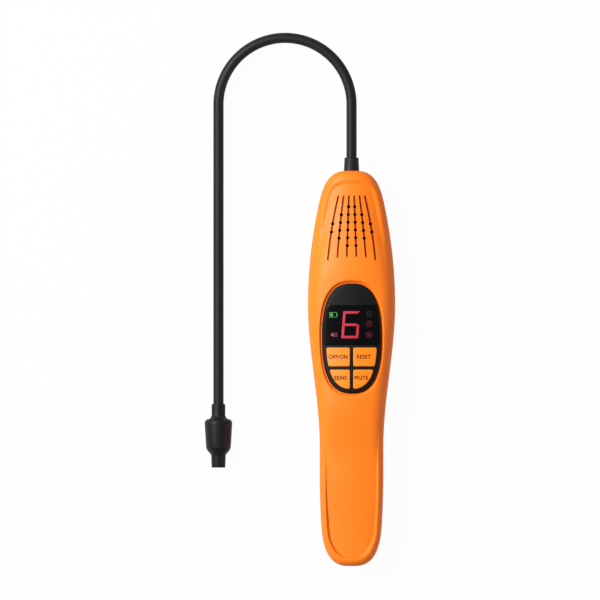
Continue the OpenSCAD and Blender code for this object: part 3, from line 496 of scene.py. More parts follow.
def punch_tree():
    tree, start, end = node_tree("punch_on_points", [
        ("Radius", "Float", 0.8 * MM), ("Depth", "Float", 12 * MM), ("Sides", "Int", 32),
        ("Material", "Material", None)])
    spots = wire(tree, "GeometryNodeMeshToPoints", Mesh=start.outputs["Geometry"])
    punch = wire(tree, "GeometryNodeMeshCylinder", Vertices=start.outputs["Sides"],
                 Radius=start.outputs["Radius"], Depth=start.outputs["Depth"])
    placed = wire(tree, "GeometryNodeInstanceOnPoints", Points=spots.outputs[0], Instance=punch.outputs[0])
    closed_off(tree, placed.outputs[0], start.outputs["Material"], end)
    return tree


sweep_along_paths, punch_on_points = sweep_tree(), punch_tree()
print("trees:", sweep_along_paths.name, punch_on_points.name)

# %% Cut the grille and the panel's pocket
orange_plastic = bpy.data.materials.new("orange_plastic")
GROOVE_SECTION = [(0.75, 0.7), (0.58, 0.05), (0.52, -0.03), (0.48, -0.1), (0.47, -0.6), (0.46, -1.2), (0.4, -1.5),
                  (0.25, -1.6)]
HOLE_RADIUS = 1.0
section_points = [(x, z, 0) for x, z in GROOVE_SECTION] + [(-x, z, 0) for x, z in reversed(GROOVE_SECTION)]
section_mesh = points_mesh("groove_section", section_points,
                           [(i, (i + 1) % len(section_points)) for i in range(len(section_points))])
groove_section = bpy.data.objects.new("groove_section", section_mesh)

path_points = [p for path in groove_paths for p in path]
path_edges = [(n * len(PATH_STEPS) + k, n * len(PATH_STEPS) + k + 1)
              for n in range(6) for k in range(len(PATH_STEPS) - 1)]
groove_cutter = grown("groove_cutter", points_mesh("groove_paths", path_points, path_edges),
                      sweep_along_paths, {"Section": groove_section, "Material": orange_plastic})
hole_cutter = grown("hole_cutter", points_mesh("hole_places", hole_places),
                    punch_on_points, {"Radius": HOLE_RADIUS * MM, "Material": orange_plastic})
for cutter in (groove_cutter, hole_cutter):
    low, high = [[round(f(v.co[a] for v in cutter.data.vertices) / MM, 2) for a in range(3)] for f in (min, max)]
    print(cutter.name, low, high, len(cutter.data.polygons), "faces")


def cut(piece, cutters, operation="DIFFERENCE", angle=32):
    """Cuts each cutter out of the piece for good, and takes the cutters away."""
    for cutter in cutters:
        modifier = piece.modifiers.new("cut", "BOOLEAN")
        modifier.operation, modifier.solver, modifier.object = operation, "EXACT", cutter
    graph = bpy.context.evaluated_depsgraph_get()
    mesh = bpy.data.meshes.new_from_object(piece.evaluated_get(graph))
    mesh.name = piece.name
    piece.modifiers.clear()
    piece.data = mesh
    for cutter in cutters:
        bpy.data.objects.remove(cutter)
    mesh.shade_smooth()
    mesh.set_sharp_from_angle(angle=math.radians(angle))
    return piece


cut(front_shell, [pocket, opening, hole_cutter, groove_cutter])
print("front shell:", len(front_shell.data.polygons), "faces")

# %% [markdown]
# ## Rear shell and battery door
#
# The rear shell is a tray with soft lower edges. The door is cut out of the same outer skin, so that
# both share one surface with a fine gap between them. Boxes do the cutting, as a slide in the
# moulding tool does on the real part. Four screws sit in round wells.


# %% Boxes, rods and the rear shell
def box_piece(name, low, high):
    (x0, y0, z0), (x1, y1, z1) = low, high
    points = [(x, y, z) for z in (z0, z1) for y in (y0, y1) for x in (x0, x1)]
    faces = [(0, 2, 3, 1), (4, 5, 7, 6), (0, 1, 5, 4), (2, 6, 7, 3), (0, 4, 6, 2), (1, 3, 7, 5)]
    return new_piece(name, points, faces)


def turned(name, profile, steps=96, angle=32):
    """A body turned about Z from a profile of (radius, height); radius 0 closes an end."""
    points, faces = [], []
    for r, z in profile:
        points += [(r * math.cos(2 * math.pi * k / steps), r * math.sin(2 * math.pi * k / steps), z)
                   for k in range(steps)]
    for m in range(len(profile) - 1):
        for k in range(steps):
            j = (k + 1) % steps
            faces.append((m * steps + k, m * steps + j, (m + 1) * steps + j, (m + 1) * steps + k))
    return new_piece(name, points, faces, angle)


BACK_SHARES = [1, 0.9, 0.8, 0.7, 0.6, 0.5, 0.41, 0.33, 0.25, 0.18, 0.12, 0.07, 0.03, 0.008, 0]
outer_back = [back_ring(s) for s in BACK_SHARES]
outer_back += [level_ring(0, z) for z in (10, 12, SEAM_HEIGHT - SEAM_CHAMFER)]
rear_rings = outer_back + [level_ring(SEAM_CHAMFER, SEAM_HEIGHT), level_ring(WALL, SEAM_HEIGHT)]
rear_rings += [back_ring(s, t=WALL) for s in (0, 0.1, 0.3, 0.6, 1)]
rear_shell = new_piece("rear_shell", *closed_rings(rear_rings))

DOOR_HALF, DOOR_SKIN, DOOR_STEP, DOOR_PLATE, DOOR_GAP = 13.0, 1.0, 2.0, 2.0, 0.2
DOOR_TOP_Y = PANEL_BOTTOM_Y + 7.5
FOOT_Y, FOOT_HEIGHT = -HALF_LENGTH + 5.5, 6.5
FAR = 140.0
skin = DOOR_HALF + DOOR_GAP
inner = DOOR_HALF - DOOR_STEP + DOOR_GAP
door_space = [
    box_piece("space_skin", (-skin, -FAR, -5), (skin, DOOR_TOP_Y + DOOR_GAP, DOOR_SKIN + 0.1)),
    box_piece("space_plate", (-inner, -FAR, -5), (inner, DOOR_TOP_Y + DOOR_GAP, WALL + 1)),
    box_piece("space_foot", (-FAR, -FAR, -5), (FAR, FOOT_Y + DOOR_GAP, FOOT_HEIGHT + DOOR_GAP)),
]
screw_places = [(side * x, y) for side in (-1, 1)
                for x, y in ((half_width(92) - WALL - 3.4 - 0.6, 92), (15.9, PANEL_BOTTOM_Y + 6.5))]
well_profile = [(0, -1), (3.4, -1), (3.3, -0.1), (3.05, 0.08), (2.84, 0.4), (2.8, 0.8), (2.8, 6), (0, 6)]
for n, (x, y) in enumerate(screw_places):
    well = turned(f"well_{n}", well_profile, 48)
    well.data.transform(Matrix.Translation((x * MM, y * MM, 0)))
    door_space.append(well)
cut(rear_shell, door_space)
print("rear shell:", len(rear_shell.data.polygons), "faces, screws at", screw_places)

# %% Battery door
door_skin = new_piece("door_outside", *closed_rings(outer_back))
battery_door = box_piece("door", (-DOOR_HALF, -FAR, -5), (DOOR_HALF, DOOR_TOP_Y, DOOR_SKIN))
plate = box_piece("door_plate", (-DOOR_HALF + DOOR_STEP, -FAR, -5), (DOOR_HALF - DOOR_STEP, DOOR_TOP_Y, DOOR_PLATE))
foot = box_piece("door_foot", (-FAR, -FAR, -5), (FAR, FOOT_Y, FOOT_HEIGHT))
cut(battery_door, [plate, foot], "UNION")
cut(battery_door, [door_skin], "INTERSECT")
battery_door.name = battery_door.data.name = "door_cover"
print("battery door:", len(battery_door.data.polygons), "faces")

# %% [markdown]
# ## Panel, window and keys
#
# The panel is a thin crowned plate with an opening for the window and one for each key. Each key's
# outline is a quarter of the oval with rounded corners. It is found by its support points, which are
# the farthest points in every direction, so the same directions give matching rings at any size.


# %% Outline of a key
KEY_BORDER, KEY_COLUMN_GAP, KEY_ROW_GAP, KEY_LENGTH = 2.6, 1.9, 1.8, 11.0
KEY_ROW_Y = PANEL_Y - 17.2
KEY_CORNER, KEY_PROUD, KEY_FIT = 1.0, 0.6, 0.2
DIRECTIONS = 144
LONG_SIDE, SIDE_PARTS = 3.0, 20


def clipped(polygon, nx, ny, limit):
    """The part of a convex polygon on the near side of a line."""
    kept = []
    for k, (ax, ay) in enumerate(polygon):
        bx, by = polygon[(k + 1) % len(polygon)]
        da, db = ax * nx + ay * ny - limit, bx * nx + by * ny - limit
        if da <= 0:
            kept.append((ax, ay))
        if da * db < 0:
            t = da / (da - db)
            kept.append((mix(ax, bx, t), mix(ay, by, t)))
    return kept


def divided(outline):
    """The outline with its long straight sides in short parts, so that they can follow the crown."""
    points = []
    for k, (ax, ay) in enumerate(outline):
        bx, by = outline[(k + 1) % len(outline)]
        parts = SIDE_PARTS if math.hypot(bx - ax, by - ay) > LONG_SIDE else 1
        points += [(mix(ax, bx, n / parts), mix(ay, by, n / parts)) for n in range(parts)]
    return points


def key_core(side, row):
    """A key's outline, drawn in by its corner radius."""
    low = KEY_ROW_Y + KEY_ROW_GAP / 2 if row > 0 else PANEL_BOTTOM_Y
    high = KEY_ROW_Y + KEY_ROW_GAP / 2 + KEY_LENGTH if row > 0 else KEY_ROW_Y - KEY_ROW_GAP / 2
    core = oval(KEY_BORDER)
    shrunk = []
    for k, (x, y) in enumerate(core):
        (ax, ay), (bx, by) = core[k - 1], core[(k + 1) % len(core)]
        length = math.hypot(bx - ax, by - ay)
        shrunk.append((x - (by - ay) / length * KEY_CORNER, y + (bx - ax) / length * KEY_CORNER))
    near = KEY_COLUMN_GAP / 2 + KEY_CORNER
    shrunk = clipped(shrunk, -side, 0, -near)
    shrunk = clipped(shrunk, 0, -1, -(low + KEY_CORNER))
    return clipped(shrunk, 0, 1, high - KEY_CORNER)


def key_outline(core, grow):
    """The core grown by the corner radius and by grow, one point for each direction."""
    outline = []
    for k in range(DIRECTIONS):
        a = 2 * math.pi * (k + 0.5) / DIRECTIONS
        c, s = math.cos(a), math.sin(a)
        x, y = max(core, key=lambda p: p[0] * c + p[1] * s)
        outline.append((x + c * (KEY_CORNER + grow), y + s * (KEY_CORNER + grow)))
    return divided(outline)


KEYS = {"power": (-1, 1), "reset": (1, 1), "sensitivity": (-1, -1), "mute": (1, -1)}
cores = {name: key_core(*place) for name, place in KEYS.items()}
print({name: [round(max(p[a] for p in core) - min(p[a] for p in core) + 2, 1) for a in (0, 1)]
       for name, core in cores.items()})

# %% Panel, window and key caps
WINDOW_Y, WINDOW_LENGTH, WINDOW_BORDER = PANEL_Y + 7.7, 23.4, 1.1


def window_outline(border, grow):
    shape = clipped(oval(border), 0, 1, WINDOW_Y + WINDOW_LENGTH / 2 + grow)
    return divided(clipped(shape, 0, -1, -(WINDOW_Y - WINDOW_LENGTH / 2 - grow)))


PLATE_EDGE = [(0, -PANEL_THICKNESS), (0, -1.0), (0.06, -0.88), (0.32, -0.5), (0.62, -0.18), (0.85, -0.04), (1.0, 0)]
panel_plate = new_piece("panel_plate", *filled(
    [crowned(oval(inset), -up) for inset, up in PLATE_EDGE], (0.93, 0.85, 0.75, 0.62, 0.48, 0.34, 0.2, 0.1)))
holes = [new_piece(f"hole_{name}", *filled([crowned(key_outline(core, KEY_FIT), depth) for depth in (3, -2)]))
         for name, core in cores.items()]
holes.append(new_piece("hole_window", *filled(
    [crowned(window_outline(WINDOW_BORDER, 0), depth) for depth in (3, -2)])))
cut(panel_plate, holes)

WINDOW_EDGE = [(0, -PANEL_THICKNESS), (0, -0.12), (0.03, -0.05), (0.1, -0.01), (0.18, 0)]
window_pane = new_piece("window_pane", *filled(
    [crowned(window_outline(WINDOW_BORDER + 0.1 + inset, -0.1 - inset), -up) for inset, up in WINDOW_EDGE],
    (0.9, 0.8, 0.7, 0.6, 0.5, 0.4, 0.3, 0.2, 0.1)))

CAP_EDGE = [(0, -2.3), (0, 0.1), (-0.03, 0.25), (-0.11, 0.41), (-0.25, 0.53), (-0.42, 0.59), (-0.6, 0.6)]
key_caps = {name: new_piece(f"key_{name}", *filled(
    [crowned(key_outline(core, grow), -up) for grow, up in CAP_EDGE], (0.9, 0.78, 0.64, 0.5, 0.36, 0.22, 0.1)))
    for name, core in cores.items()}
print("panel:", len(panel_plate.data.polygons), "window:", len(window_pane.data.polygons), "keys:", len(key_caps))

# %% [markdown]
# ## Printed words and lit marks
#
# The keys carry plain words for what they do. A text curve is turned into a mesh, laid on the key's
# crown, and given a little thickness, as pad-printed ink has. The digit and the small signs beside it
# are thin lit inlays on the smoked window, drawn as polygons in the same way.


# %% Words and signs laid on the crown
def laid_on_crown(piece, centre, lift):
    """Lays a flat mesh, drawn in millimetres round the origin, on the crown at the centre."""
    bm = bmesh.new()
    bm.from_mesh(piece.data)
    for k in range(-12, 13):
        bmesh.ops.bisect_plane(bm, geom=bm.verts[:] + bm.edges[:] + bm.faces[:], dist=1e-5,
                               plane_co=(k / 2 + 0.013, 0, 0), plane_no=(1, 0, 0))
    bm.to_mesh(piece.data)
    bm.free()
    for v in piece.data.vertices:
        x, y = v.co.x + centre[0], v.co.y + centre[1]
        v.co = Vector((x, y, crown_z(x) + lift + v.co.z)) * MM
    return piece


def word(name, text, size, width):
    curve = bpy.data.curves.new(name, "FONT")
    curve.body, curve.size, curve.bevel_depth, curve.bevel_resolution = text, size, 0.14, 0
    curve.space_character = 1.1
    curve.align_x, curve.align_y = "CENTER", "CENTER"
    source = bpy.data.objects.new(name + "_curve", curve)
    scene.collection.objects.link(source)
    graph = bpy.context.evaluated_depsgraph_get()
    mesh = bpy.data.meshes.new_from_object(source.evaluated_get(graph))
    bpy.data.objects.remove(source)
    xs = [v.co.x for v in mesh.vertices]
    ys = [v.co.y for v in mesh.vertices]
    stretch, middle = width / (max(xs) - min(xs)), ((max(xs) + min(xs)) / 2, (max(ys) + min(ys)) / 2)
    for v in mesh.vertices:
        v.co.x, v.co.y = (v.co.x - middle[0]) * stretch, v.co.y - middle[1]
    mesh.name = name
    return finish_piece(name, mesh)


WORDS = {"power": ("OFF/ON", 11, (-7.9, 6.8)), "reset": ("RESET", 8.2, (7.0, 6.8)),
         "sensitivity": ("SENS", 7.4, (-6.5, -5.4)), "mute": ("MUTE", 8, (5.6, -5.4))}
words = {name: laid_on_crown(word(f"word_{name}", text, 3.3, width), place, KEY_PROUD - 0.04)
         for name, (text, width, place) in WORDS.items()}
print("words:", [text for text, _, _ in WORDS.values()])


# %% The lit digit and the small signs
def inlay(name, shapes, thickness=0.04):
    """One thin mesh from flat outlines."""
    points, faces = [], []
    for shape in shapes:
        n, start = len(shape), len(points)
        points += [(x, y, z) for z in (0, thickness) for x, y in shape]
        faces += [tuple(range(start + n - 1, start - 1, -1)), tuple(range(start + n, start + 2 * n))]
        faces += [(start + k, start + (k + 1) % n, start + n + (k + 1) % n, start + n + k) for k in range(n)]
    mesh = bpy.data.meshes.new(name)
    mesh.from_pydata(points, [], faces)
    return finish_piece(name, mesh)


def bar(ax, ay, bx, by, width):
    """A digit's bar: a long hexagon from a to b."""
    length = math.hypot(bx - ax, by - ay)
    ux, uy = (bx - ax) / length, (by - ay) / length
    h = width / 2
    along = [(0, 0), (h, h), (length - h, h), (length, 0), (length - h, -h), (h, -h)]
    return [(ax + u * ux - v * uy, ay + u * uy + v * ux) for u, v in along]


DIGIT_WIDTH, DIGIT_HEIGHT, DIGIT_SLANT, BAR_WIDTH, BAR_GAP = 8.4, 14.3, 0.075, 1.45, 0.09
SIX = [((-1, 1), (1, 1)), ((-1, 0), (-1, 1)), ((1, 0), (-1, 0)), ((-1, -1), (-1, 0)), ((1, 0), (1, -1)),
       ((1, -1), (-1, -1))]


def digit_bar(a, b):
    """A bar from a to b with its outer edge on the left of that way, mitred to its neighbours."""
    (ax, ay), (bx, by) = [(sx * DIGIT_WIDTH / 2, sy * DIGIT_HEIGHT / 2) for sx, sy in (a, b)]
    length, h = math.hypot(bx - ax, by - ay), BAR_WIDTH / 2
    ux, uy = (bx - ax) / length, (by - ay) / length
    level = a[1] == 0 and b[1] == 0
    start_out, end_out = [h if level else 0 if end[1] == 0 else -h for end in (a, b)]
    along = [(start_out + BAR_GAP, h), (length - end_out - BAR_GAP, h), (length - BAR_GAP, 0),
             (length - h - BAR_GAP, -h), (h + BAR_GAP, -h), (BAR_GAP, 0)]
    flat = [(ax + u * ux - v * uy, ay + u * uy + v * ux) for u, v in along]
    return [(x + DIGIT_SLANT * y, y) for x, y in flat]


def arc(cx, cy, radius, width, start, end, steps=24):
    """Flat strip along an arc, as one outline."""
    angles = [math.radians(mix(start, end, k / steps)) for k in range(steps + 1)]
    outside = [(cx + (radius + width / 2) * math.cos(a), cy + (radius + width / 2) * math.sin(a)) for a in angles]
    inside = [(cx + (radius - width / 2) * math.cos(a), cy + (radius - width / 2) * math.sin(a)) for a in angles]
    return outside + inside[::-1]


def ring_halves(radius, width):
    return [arc(0, 0, radius, width, 0, 180), arc(0, 0, radius, width, 180, 360)]


def frame_bars(w, h, line):
    """A rectangle's outline as four strips."""
    return [[(-w, -h), (w, -h), (w, -h + line), (-w, -h + line)], [(-w, h - line), (w, h - line), (w, h), (-w, h)],
            [(-w, -h + line), (-w + line, -h + line), (-w + line, h - line), (-w, h - line)],
            [(w - line, -h + line), (w, -h + line), (w, h - line), (w - line, h - line)]]


WINDOW_LIFT = 0.02
digit_six = laid_on_crown(inlay("digit_six", [digit_bar(a, b) for a, b in SIX]), (-0.55, 25.45), WINDOW_LIFT)
battery_sign = inlay("battery_sign", frame_bars(2.2, 1.45, 0.25)
                     + [[(-1.6, -0.85), (-0.1, -0.85), (-0.1, 0.85), (-1.6, 0.85)],
                        [(2.2, -0.6), (2.6, -0.6), (2.6, 0.6), (2.2, 0.6)]])
laid_on_crown(battery_sign, (-10.75, 31.2), WINDOW_LIFT)
sound_sign = inlay("sound_sign", [[(-1.8, -0.55), (-1.0, -0.55), (0.1, -1.4), (0.1, 1.4), (-1.0, 0.55), (-1.8, 0.55)],
                                  arc(-0.1, 0, 1.1, 0.3, -40, 40, 8), arc(-0.1, 0, 1.9, 0.3, -42, 42, 8)])
laid_on_crown(sound_sign, (-10.3, 19.6), WINDOW_LIFT)
alarm_sign = laid_on_crown(inlay("alarm_sign", ring_halves(1.6, 0.38) + [bar(-0.1, -1, -0.1, 1, 0.4),
                           bar(-0.7, 0, 0.8, 0, 0.4)]), (10.2, 26.0), WINDOW_LIFT)
silent_sign = laid_on_crown(inlay("silent_sign", ring_halves(1.6, 0.38) + [bar(-1.1, 1.1, 1.1, -1.1, 0.36),
                            [(-0.8, -0.3), (-0.3, -0.3), (0.5, -0.9), (0.5, 0.9), (-0.3, 0.3), (-0.8, 0.3)]]),
                            (10.2, 19.6), WINDOW_LIFT)
dim_sign = laid_on_crown(inlay("dim_sign", frame_bars(1.3, 1.5, 0.3) + [bar(-1.2, 0, 1.2, 0, 0.3)]),
                         (10.2, 31.8), WINDOW_LIFT)
print("digit bars:", len(SIX))

# %% [markdown]
# ## Gooseneck, collar and probe
#
# The gooseneck is one round sheath that leaves the housing, bends back in a half circle and runs down
# to the probe. It follows a path, so a tree sweeps a circle along it and Solidify gives it its wall.
# The collar and the probe are turned parts: a profile with rounded corners, spun about its axis.

# %% The gooseneck's path and sheath
BEND_RADIUS, NECK_RUN, PROBE_RUN = 38.9, 38.5, 174.3
SHEATH_D, SHEATH_WALL, PROBE_D = 6.0, 0.8, 16.1
BEND_Y = HALF_LENGTH + NECK_RUN
PROBE_TOP_Y = BEND_Y - PROBE_RUN
SLEEVE_LENGTH, FLARE_LENGTH = 5.9, 2.8
SHEATH_START_Y = 97.5
NECK_TILT = math.asin((SEAM_HEIGHT - PROBE_D / 2) / (2 * BEND_RADIUS))
in_neck_plane = Matrix.Translation((0, 0, SEAM_HEIGHT * MM)) @ Matrix.Rotation(-NECK_TILT, 4, "Y")

neck_path = [(0, mix(SHEATH_START_Y, BEND_Y, k / 12), 0) for k in range(12)]
neck_path += [(-BEND_RADIUS + BEND_RADIUS * math.cos(a), BEND_Y + BEND_RADIUS * math.sin(a), 0)
              for a in (math.pi * k / 96 for k in range(97))]
neck_path += [(-2 * BEND_RADIUS, mix(BEND_Y, PROBE_TOP_Y - SLEEVE_LENGTH, k / 30), 0) for k in range(1, 31)]


def tube_tree():
    tree, start, end = node_tree("tube_along_path", [
        ("Radius", "Float", 3 * MM), ("Sides", "Int", 48), ("Material", "Material", None)])
    path = wire(tree, "GeometryNodeMeshToCurve", Mesh=start.outputs["Geometry"])
    upright = wire(tree, "GeometryNodeSetCurveNormal", Curve=path.outputs[0])
    circle = wire(tree, "GeometryNodeCurvePrimitiveCircle",
                  Resolution=start.outputs["Sides"], Radius=start.outputs["Radius"])
    swept = wire(tree, "GeometryNodeCurveToMesh", **{"Curve": upright.outputs[0],
                                                     "Profile Curve": circle.outputs[0]})
    closed_off(tree, swept.outputs[0], start.outputs["Material"], end)
    return tree


sheath_rubber = bpy.data.materials.new("sheath_rubber")
sheath_skin = grown("sheath_skin", points_mesh("neck_path", neck_path, [(k, k + 1) for k in range(len(neck_path) - 1)]),
                    tube_tree(), {"Radius": SHEATH_D / 2 * MM, "Sides": 48, "Material": sheath_rubber})


def walled(piece, thickness):
    """Gives a thin skin its wall, inwards."""
    modifier = piece.modifiers.new("wall", "SOLIDIFY")
    modifier.thickness, modifier.offset = thickness * MM, -1
    graph = bpy.context.evaluated_depsgraph_get()
    mesh = bpy.data.meshes.new_from_object(piece.evaluated_get(graph))
    piece.modifiers.clear()
    piece.data = mesh
    mesh.set_sharp_from_angle(angle=math.radians(40))
    return piece


walled(sheath_skin, SHEATH_WALL)
sheath_skin.data.transform(in_neck_plane)
print("sheath:", len(sheath_skin.data.polygons), "faces, tilted by", round(math.degrees(NECK_TILT), 2), "degrees")


# %% Rounded profiles, the collar and the probe
def softened(corners, closed=False):
    """A profile of (radius, height, fillet) corners with each fillet drawn as a short curve."""
    profile, n = [], len(corners)
    for k, (r, z, fillet) in enumerate(corners):
        if fillet == 0:
            profile.append((r, z))
            continue
        ends = []
        for r2, z2, _ in (corners[k - 1], corners[(k + 1) % n]):
            length = math.hypot(r2 - r, z2 - z)
            share = min(0.49, fillet / length)
            ends.append((mix(r, r2, share), mix(z, z2, share)))
        for s in (0, 0.15, 0.32, 0.5, 0.68, 0.85, 1):
            profile.append(tuple(mix(mix(ends[0][a], (r, z)[a], s), mix((r, z)[a], ends[1][a], s), s)
                                 for a in (0, 1)))
    return profile + profile[:1] if closed else profile


def placed(piece, matrix):
    piece.data.transform(matrix)
    return piece


STEM_Y = 108.0
collar = placed(turned("collar_cone", softened([
    (3.1, 0.2, 0), (4.5, 0.2, 0), (4.5, HALF_LENGTH - STEM_Y, 0), (4.45, 8.4, 0.5), (4.3, 10.0, 0.6),
    (4.2, 12.5, 0.6), (4.1, 14.7, 0.5), (3.1, 14.7, 0.15)], closed=True)),
    Matrix.Translation((0, STEM_Y * MM, SEAM_HEIGHT * MM)) @ Matrix.Rotation(math.radians(-90), 4, "X"))

SEAM_T = SLEEVE_LENGTH + FLARE_LENGTH
SEAM_D, SLEEVE_D, BARREL_END = 12.4, 8.0, SEAM_T + 15.9
along_probe = (in_neck_plane @ Matrix.Translation((-2 * BEND_RADIUS * MM, PROBE_TOP_Y * MM, 0))
               @ Matrix.Rotation(math.radians(90), 4, "X"))
flare = [(SLEEVE_D / 2 + (SEAM_D - SLEEVE_D) / 2 * (1 - math.cos(a)), SLEEVE_LENGTH + FLARE_LENGTH * math.sin(a), 0)
         for a in (math.pi / 2 * k / 14 for k in range(1, 15))]
holder = placed(turned("probe_sleeve", softened(
    [(3.05, 0, 0.2), (4.0, 0, 0.8)] + [(4.0, SLEEVE_LENGTH, 0)] + flare
    + [(5.6, SEAM_T + 0.05, 0), (5.6, SEAM_T + 5.3, 0.2), (4.3, SEAM_T + 5.3, 0), (4.3, SEAM_T + 3.4, 0),
       (1.1, SEAM_T + 3.4, 0), (1.1, SLEEVE_LENGTH + 0.1, 0), (3.05, SLEEVE_LENGTH + 0.1, 0)], closed=True)),
    along_probe)

MOUTH = SEAM_T + 0.15
shoulder = [(SEAM_D / 2 + (PROBE_D - SEAM_D) / 2 * math.sin(a), MOUTH + 2.5 * (1 - math.cos(a)), 0)
            for a in (math.pi / 2 * k / 16 for k in range(17))]
probe_barrel = placed(turned("probe_barrel", softened(
    shoulder + [(7.3, BARREL_END - 0.6, 1.0), (7.2, BARREL_END + 0.9, 0.9), (6.3, BARREL_END + 2.7, 0.7),
                (4.6, BARREL_END + 4.5, 0.6), (4.25, BARREL_END + 5.3, 0.7),
                (4.0, BARREL_END + 12.4, 0.45), (1.8, BARREL_END + 12.4, 0.25), (1.8, BARREL_END + 4.5, 0),
                (5.8, BARREL_END, 0), (5.8, MOUTH, 0)], closed=True)), along_probe)
print("turned parts:", [o.name for o in (collar, holder, probe_barrel)])

# %% [markdown]
# ## Thumb grip on the door
#
# The back of the detector isn't seen in the photograph. A sliding door like this one needs a place for
# the thumb, so it gets a row of shallow bowed grooves, cut with the same tree as the grille.

# %% Grooves of the thumb grip
THUMB_SECTION = [(0.85, -0.5), (0.72, -0.02), (0.66, 0.04), (0.58, 0.14), (0.42, 0.32), (0.2, 0.42)]
thumb_points = [(x, z, 0) for x, z in THUMB_SECTION] + [(-x, z, 0) for x, z in reversed(THUMB_SECTION)]
thumb_section = bpy.data.objects.new("thumb_section", points_mesh(
    "thumb_section", thumb_points, [(i, (i + 1) % len(thumb_points)) for i in range(len(thumb_points))]))
THUMB_ROWS, THUMB_PITCH, THUMB_HALF, THUMB_STEPS = 7, 2.3, 7.5, 24
thumb_paths = []
for row in range(THUMB_ROWS):
    for k in range(THUMB_STEPS + 1):
        x = -THUMB_HALF * math.cos(math.pi * k / THUMB_STEPS)
        thumb_paths.append((x, -15.5 - row * THUMB_PITCH + 0.02 * x * x, 0))
thumb_edges = [(row * (THUMB_STEPS + 1) + k, row * (THUMB_STEPS + 1) + k + 1)
               for row in range(THUMB_ROWS) for k in range(THUMB_STEPS)]
thumb_cutter = grown("thumb_cutter", points_mesh("thumb_paths", thumb_paths, thumb_edges), sweep_along_paths,
                     {"Section": thumb_section, "Material": orange_plastic, "Rounded End": 0.7 * MM})
cut(battery_door, [thumb_cutter])
print("door with its thumb grip:", len(battery_door.data.polygons), "faces")

# %% [markdown]
# ## Materials
#
# Moulded plastic is never one flat colour. Its surface has a fine eroded grain from the mould, its
# colour drifts a little with the flow of the plastic, and hands polish some places. Two node groups
# hold these effects, and every plastic material uses them with its own values.


# %% Shader node groups
def shader_group(name, inputs, outputs):
    group = bpy.data.node_groups.new(name, "ShaderNodeTree")
    for label, default in inputs:
        group.interface.new_socket(label, in_out="INPUT", socket_type="NodeSocketFloat").default_value = default
    for label in outputs:
        group.interface.new_socket(label, in_out="OUTPUT", socket_type="NodeSocketFloat")
    return group, group.nodes.new("NodeGroupInput"), group.nodes.new("NodeGroupOutput")


def moulded_surface():
    """Grain height, slow colour drift and handling marks, all from Object coordinates."""
    group, start, end = shader_group("moulded_surface", [("Grain Scale", 3200), ("Drift Scale", 18)],
                                     ["Grain", "Drift", "Handling"])
    place = group.nodes.new("ShaderNodeTexCoord").outputs["Object"]
    grain = wire(group, "ShaderNodeTexNoise", Vector=place, Scale=start.outputs["Grain Scale"], Detail=3.0)
    drift = wire(group, "ShaderNodeTexNoise", Vector=place, Scale=start.outputs["Drift Scale"], Detail=2.0)
    marks = wire(group, "ShaderNodeTexNoise", Vector=place, Scale=70.0, Detail=6.0, Roughness=0.65)
    spread = wire(group, "ShaderNodeMapRange", **{"Value": marks.outputs[0], "From Min": 0.35, "From Max": 0.7})
    chain(group, (grain.outputs[0], end.inputs["Grain"]), (drift.outputs[0], end.inputs["Drift"]),
          (spread.outputs[0], end.inputs["Handling"]))
    return group


def edge_polish():
    """A mask of convex edges, broken up so that it isn't an even line."""
    group, start, end = shader_group("edge_polish", [("Low", 0.53), ("High", 0.62), ("Amount", 1.0)], ["Mask"])
    point = group.nodes.new("ShaderNodeNewGeometry").outputs["Pointiness"]
    sharp = wire(group, "ShaderNodeMapRange", **{"Value": point, "From Min": start.outputs["Low"],
                                                 "From Max": start.outputs["High"]})
    place = group.nodes.new("ShaderNodeTexCoord").outputs["Object"]
    patches = wire(group, "ShaderNodeTexNoise", Vector=place, Scale=260.0, Detail=4.0)
    broken = maths(group, "MULTIPLY", sharp.outputs[0], patches.outputs[0])
    group.links.new(maths(group, "MULTIPLY", broken, start.outputs["Amount"]), end.inputs["Mask"])
    return group


surface_group, polish_group = moulded_surface(), edge_polish()
print("shader groups:", surface_group.name, polish_group.name)


# %% A moulded material
def painted(name, dark, light, worn, rough=(0.4, 0.5), grain=(3200, 0.06), polish=0.5, specular=0.5,
            metallic=0.0, drift=18.0, material=None):
    """A material whose colour, roughness and grain come from the two groups."""
    material = material or bpy.data.materials.new(name)
    material.use_nodes = True
    tree = material.node_tree
    shader = tree.nodes["Principled BSDF"]
    surface = tree.nodes.new("ShaderNodeGroup")
    surface.node_tree = surface_group
    surface.inputs["Grain Scale"].default_value, surface.inputs["Drift Scale"].default_value = grain[0], drift
    edges = tree.nodes.new("ShaderNodeGroup")
    edges.node_tree = polish_group
    edges.inputs["Amount"].default_value = polish
    colour = tree.nodes.new("ShaderNodeMix")
    colour.data_type = "RGBA"
    colour.inputs["A"].default_value, colour.inputs["B"].default_value = (*dark, 1), (*light, 1)
    wear = tree.nodes.new("ShaderNodeMix")
    wear.data_type = "RGBA"
    wear.inputs["B"].default_value = (*worn, 1)
    roughness = wire(tree, "ShaderNodeMapRange", **{
        "Value": surface.outputs["Handling"], "To Min": rough[0], "To Max": rough[1]})
    bump = wire(tree, "ShaderNodeBump", Strength=grain[1], Distance=0.0002, Height=surface.outputs["Grain"])
    chain(tree, (surface.outputs["Drift"], colour.inputs["Factor"]), (colour.outputs["Result"], wear.inputs["A"]),
          (edges.outputs["Mask"], wear.inputs["Factor"]), (wear.outputs["Result"], shader.inputs["Base Color"]),
          (roughness.outputs[0], shader.inputs["Roughness"]), (bump.outputs[0], shader.inputs["Normal"]))
    shader.inputs["Specular IOR Level"].default_value = specular
    shader.inputs["Metallic"].default_value = metallic
    return material


def linear(r, g, b):
    """A linear colour from eight-bit display values."""
    return tuple(v / 255 / 12.92 if v <= 10 else ((v / 255 + 0.055) / 1.055) ** 2.4 for v in (r, g, b))


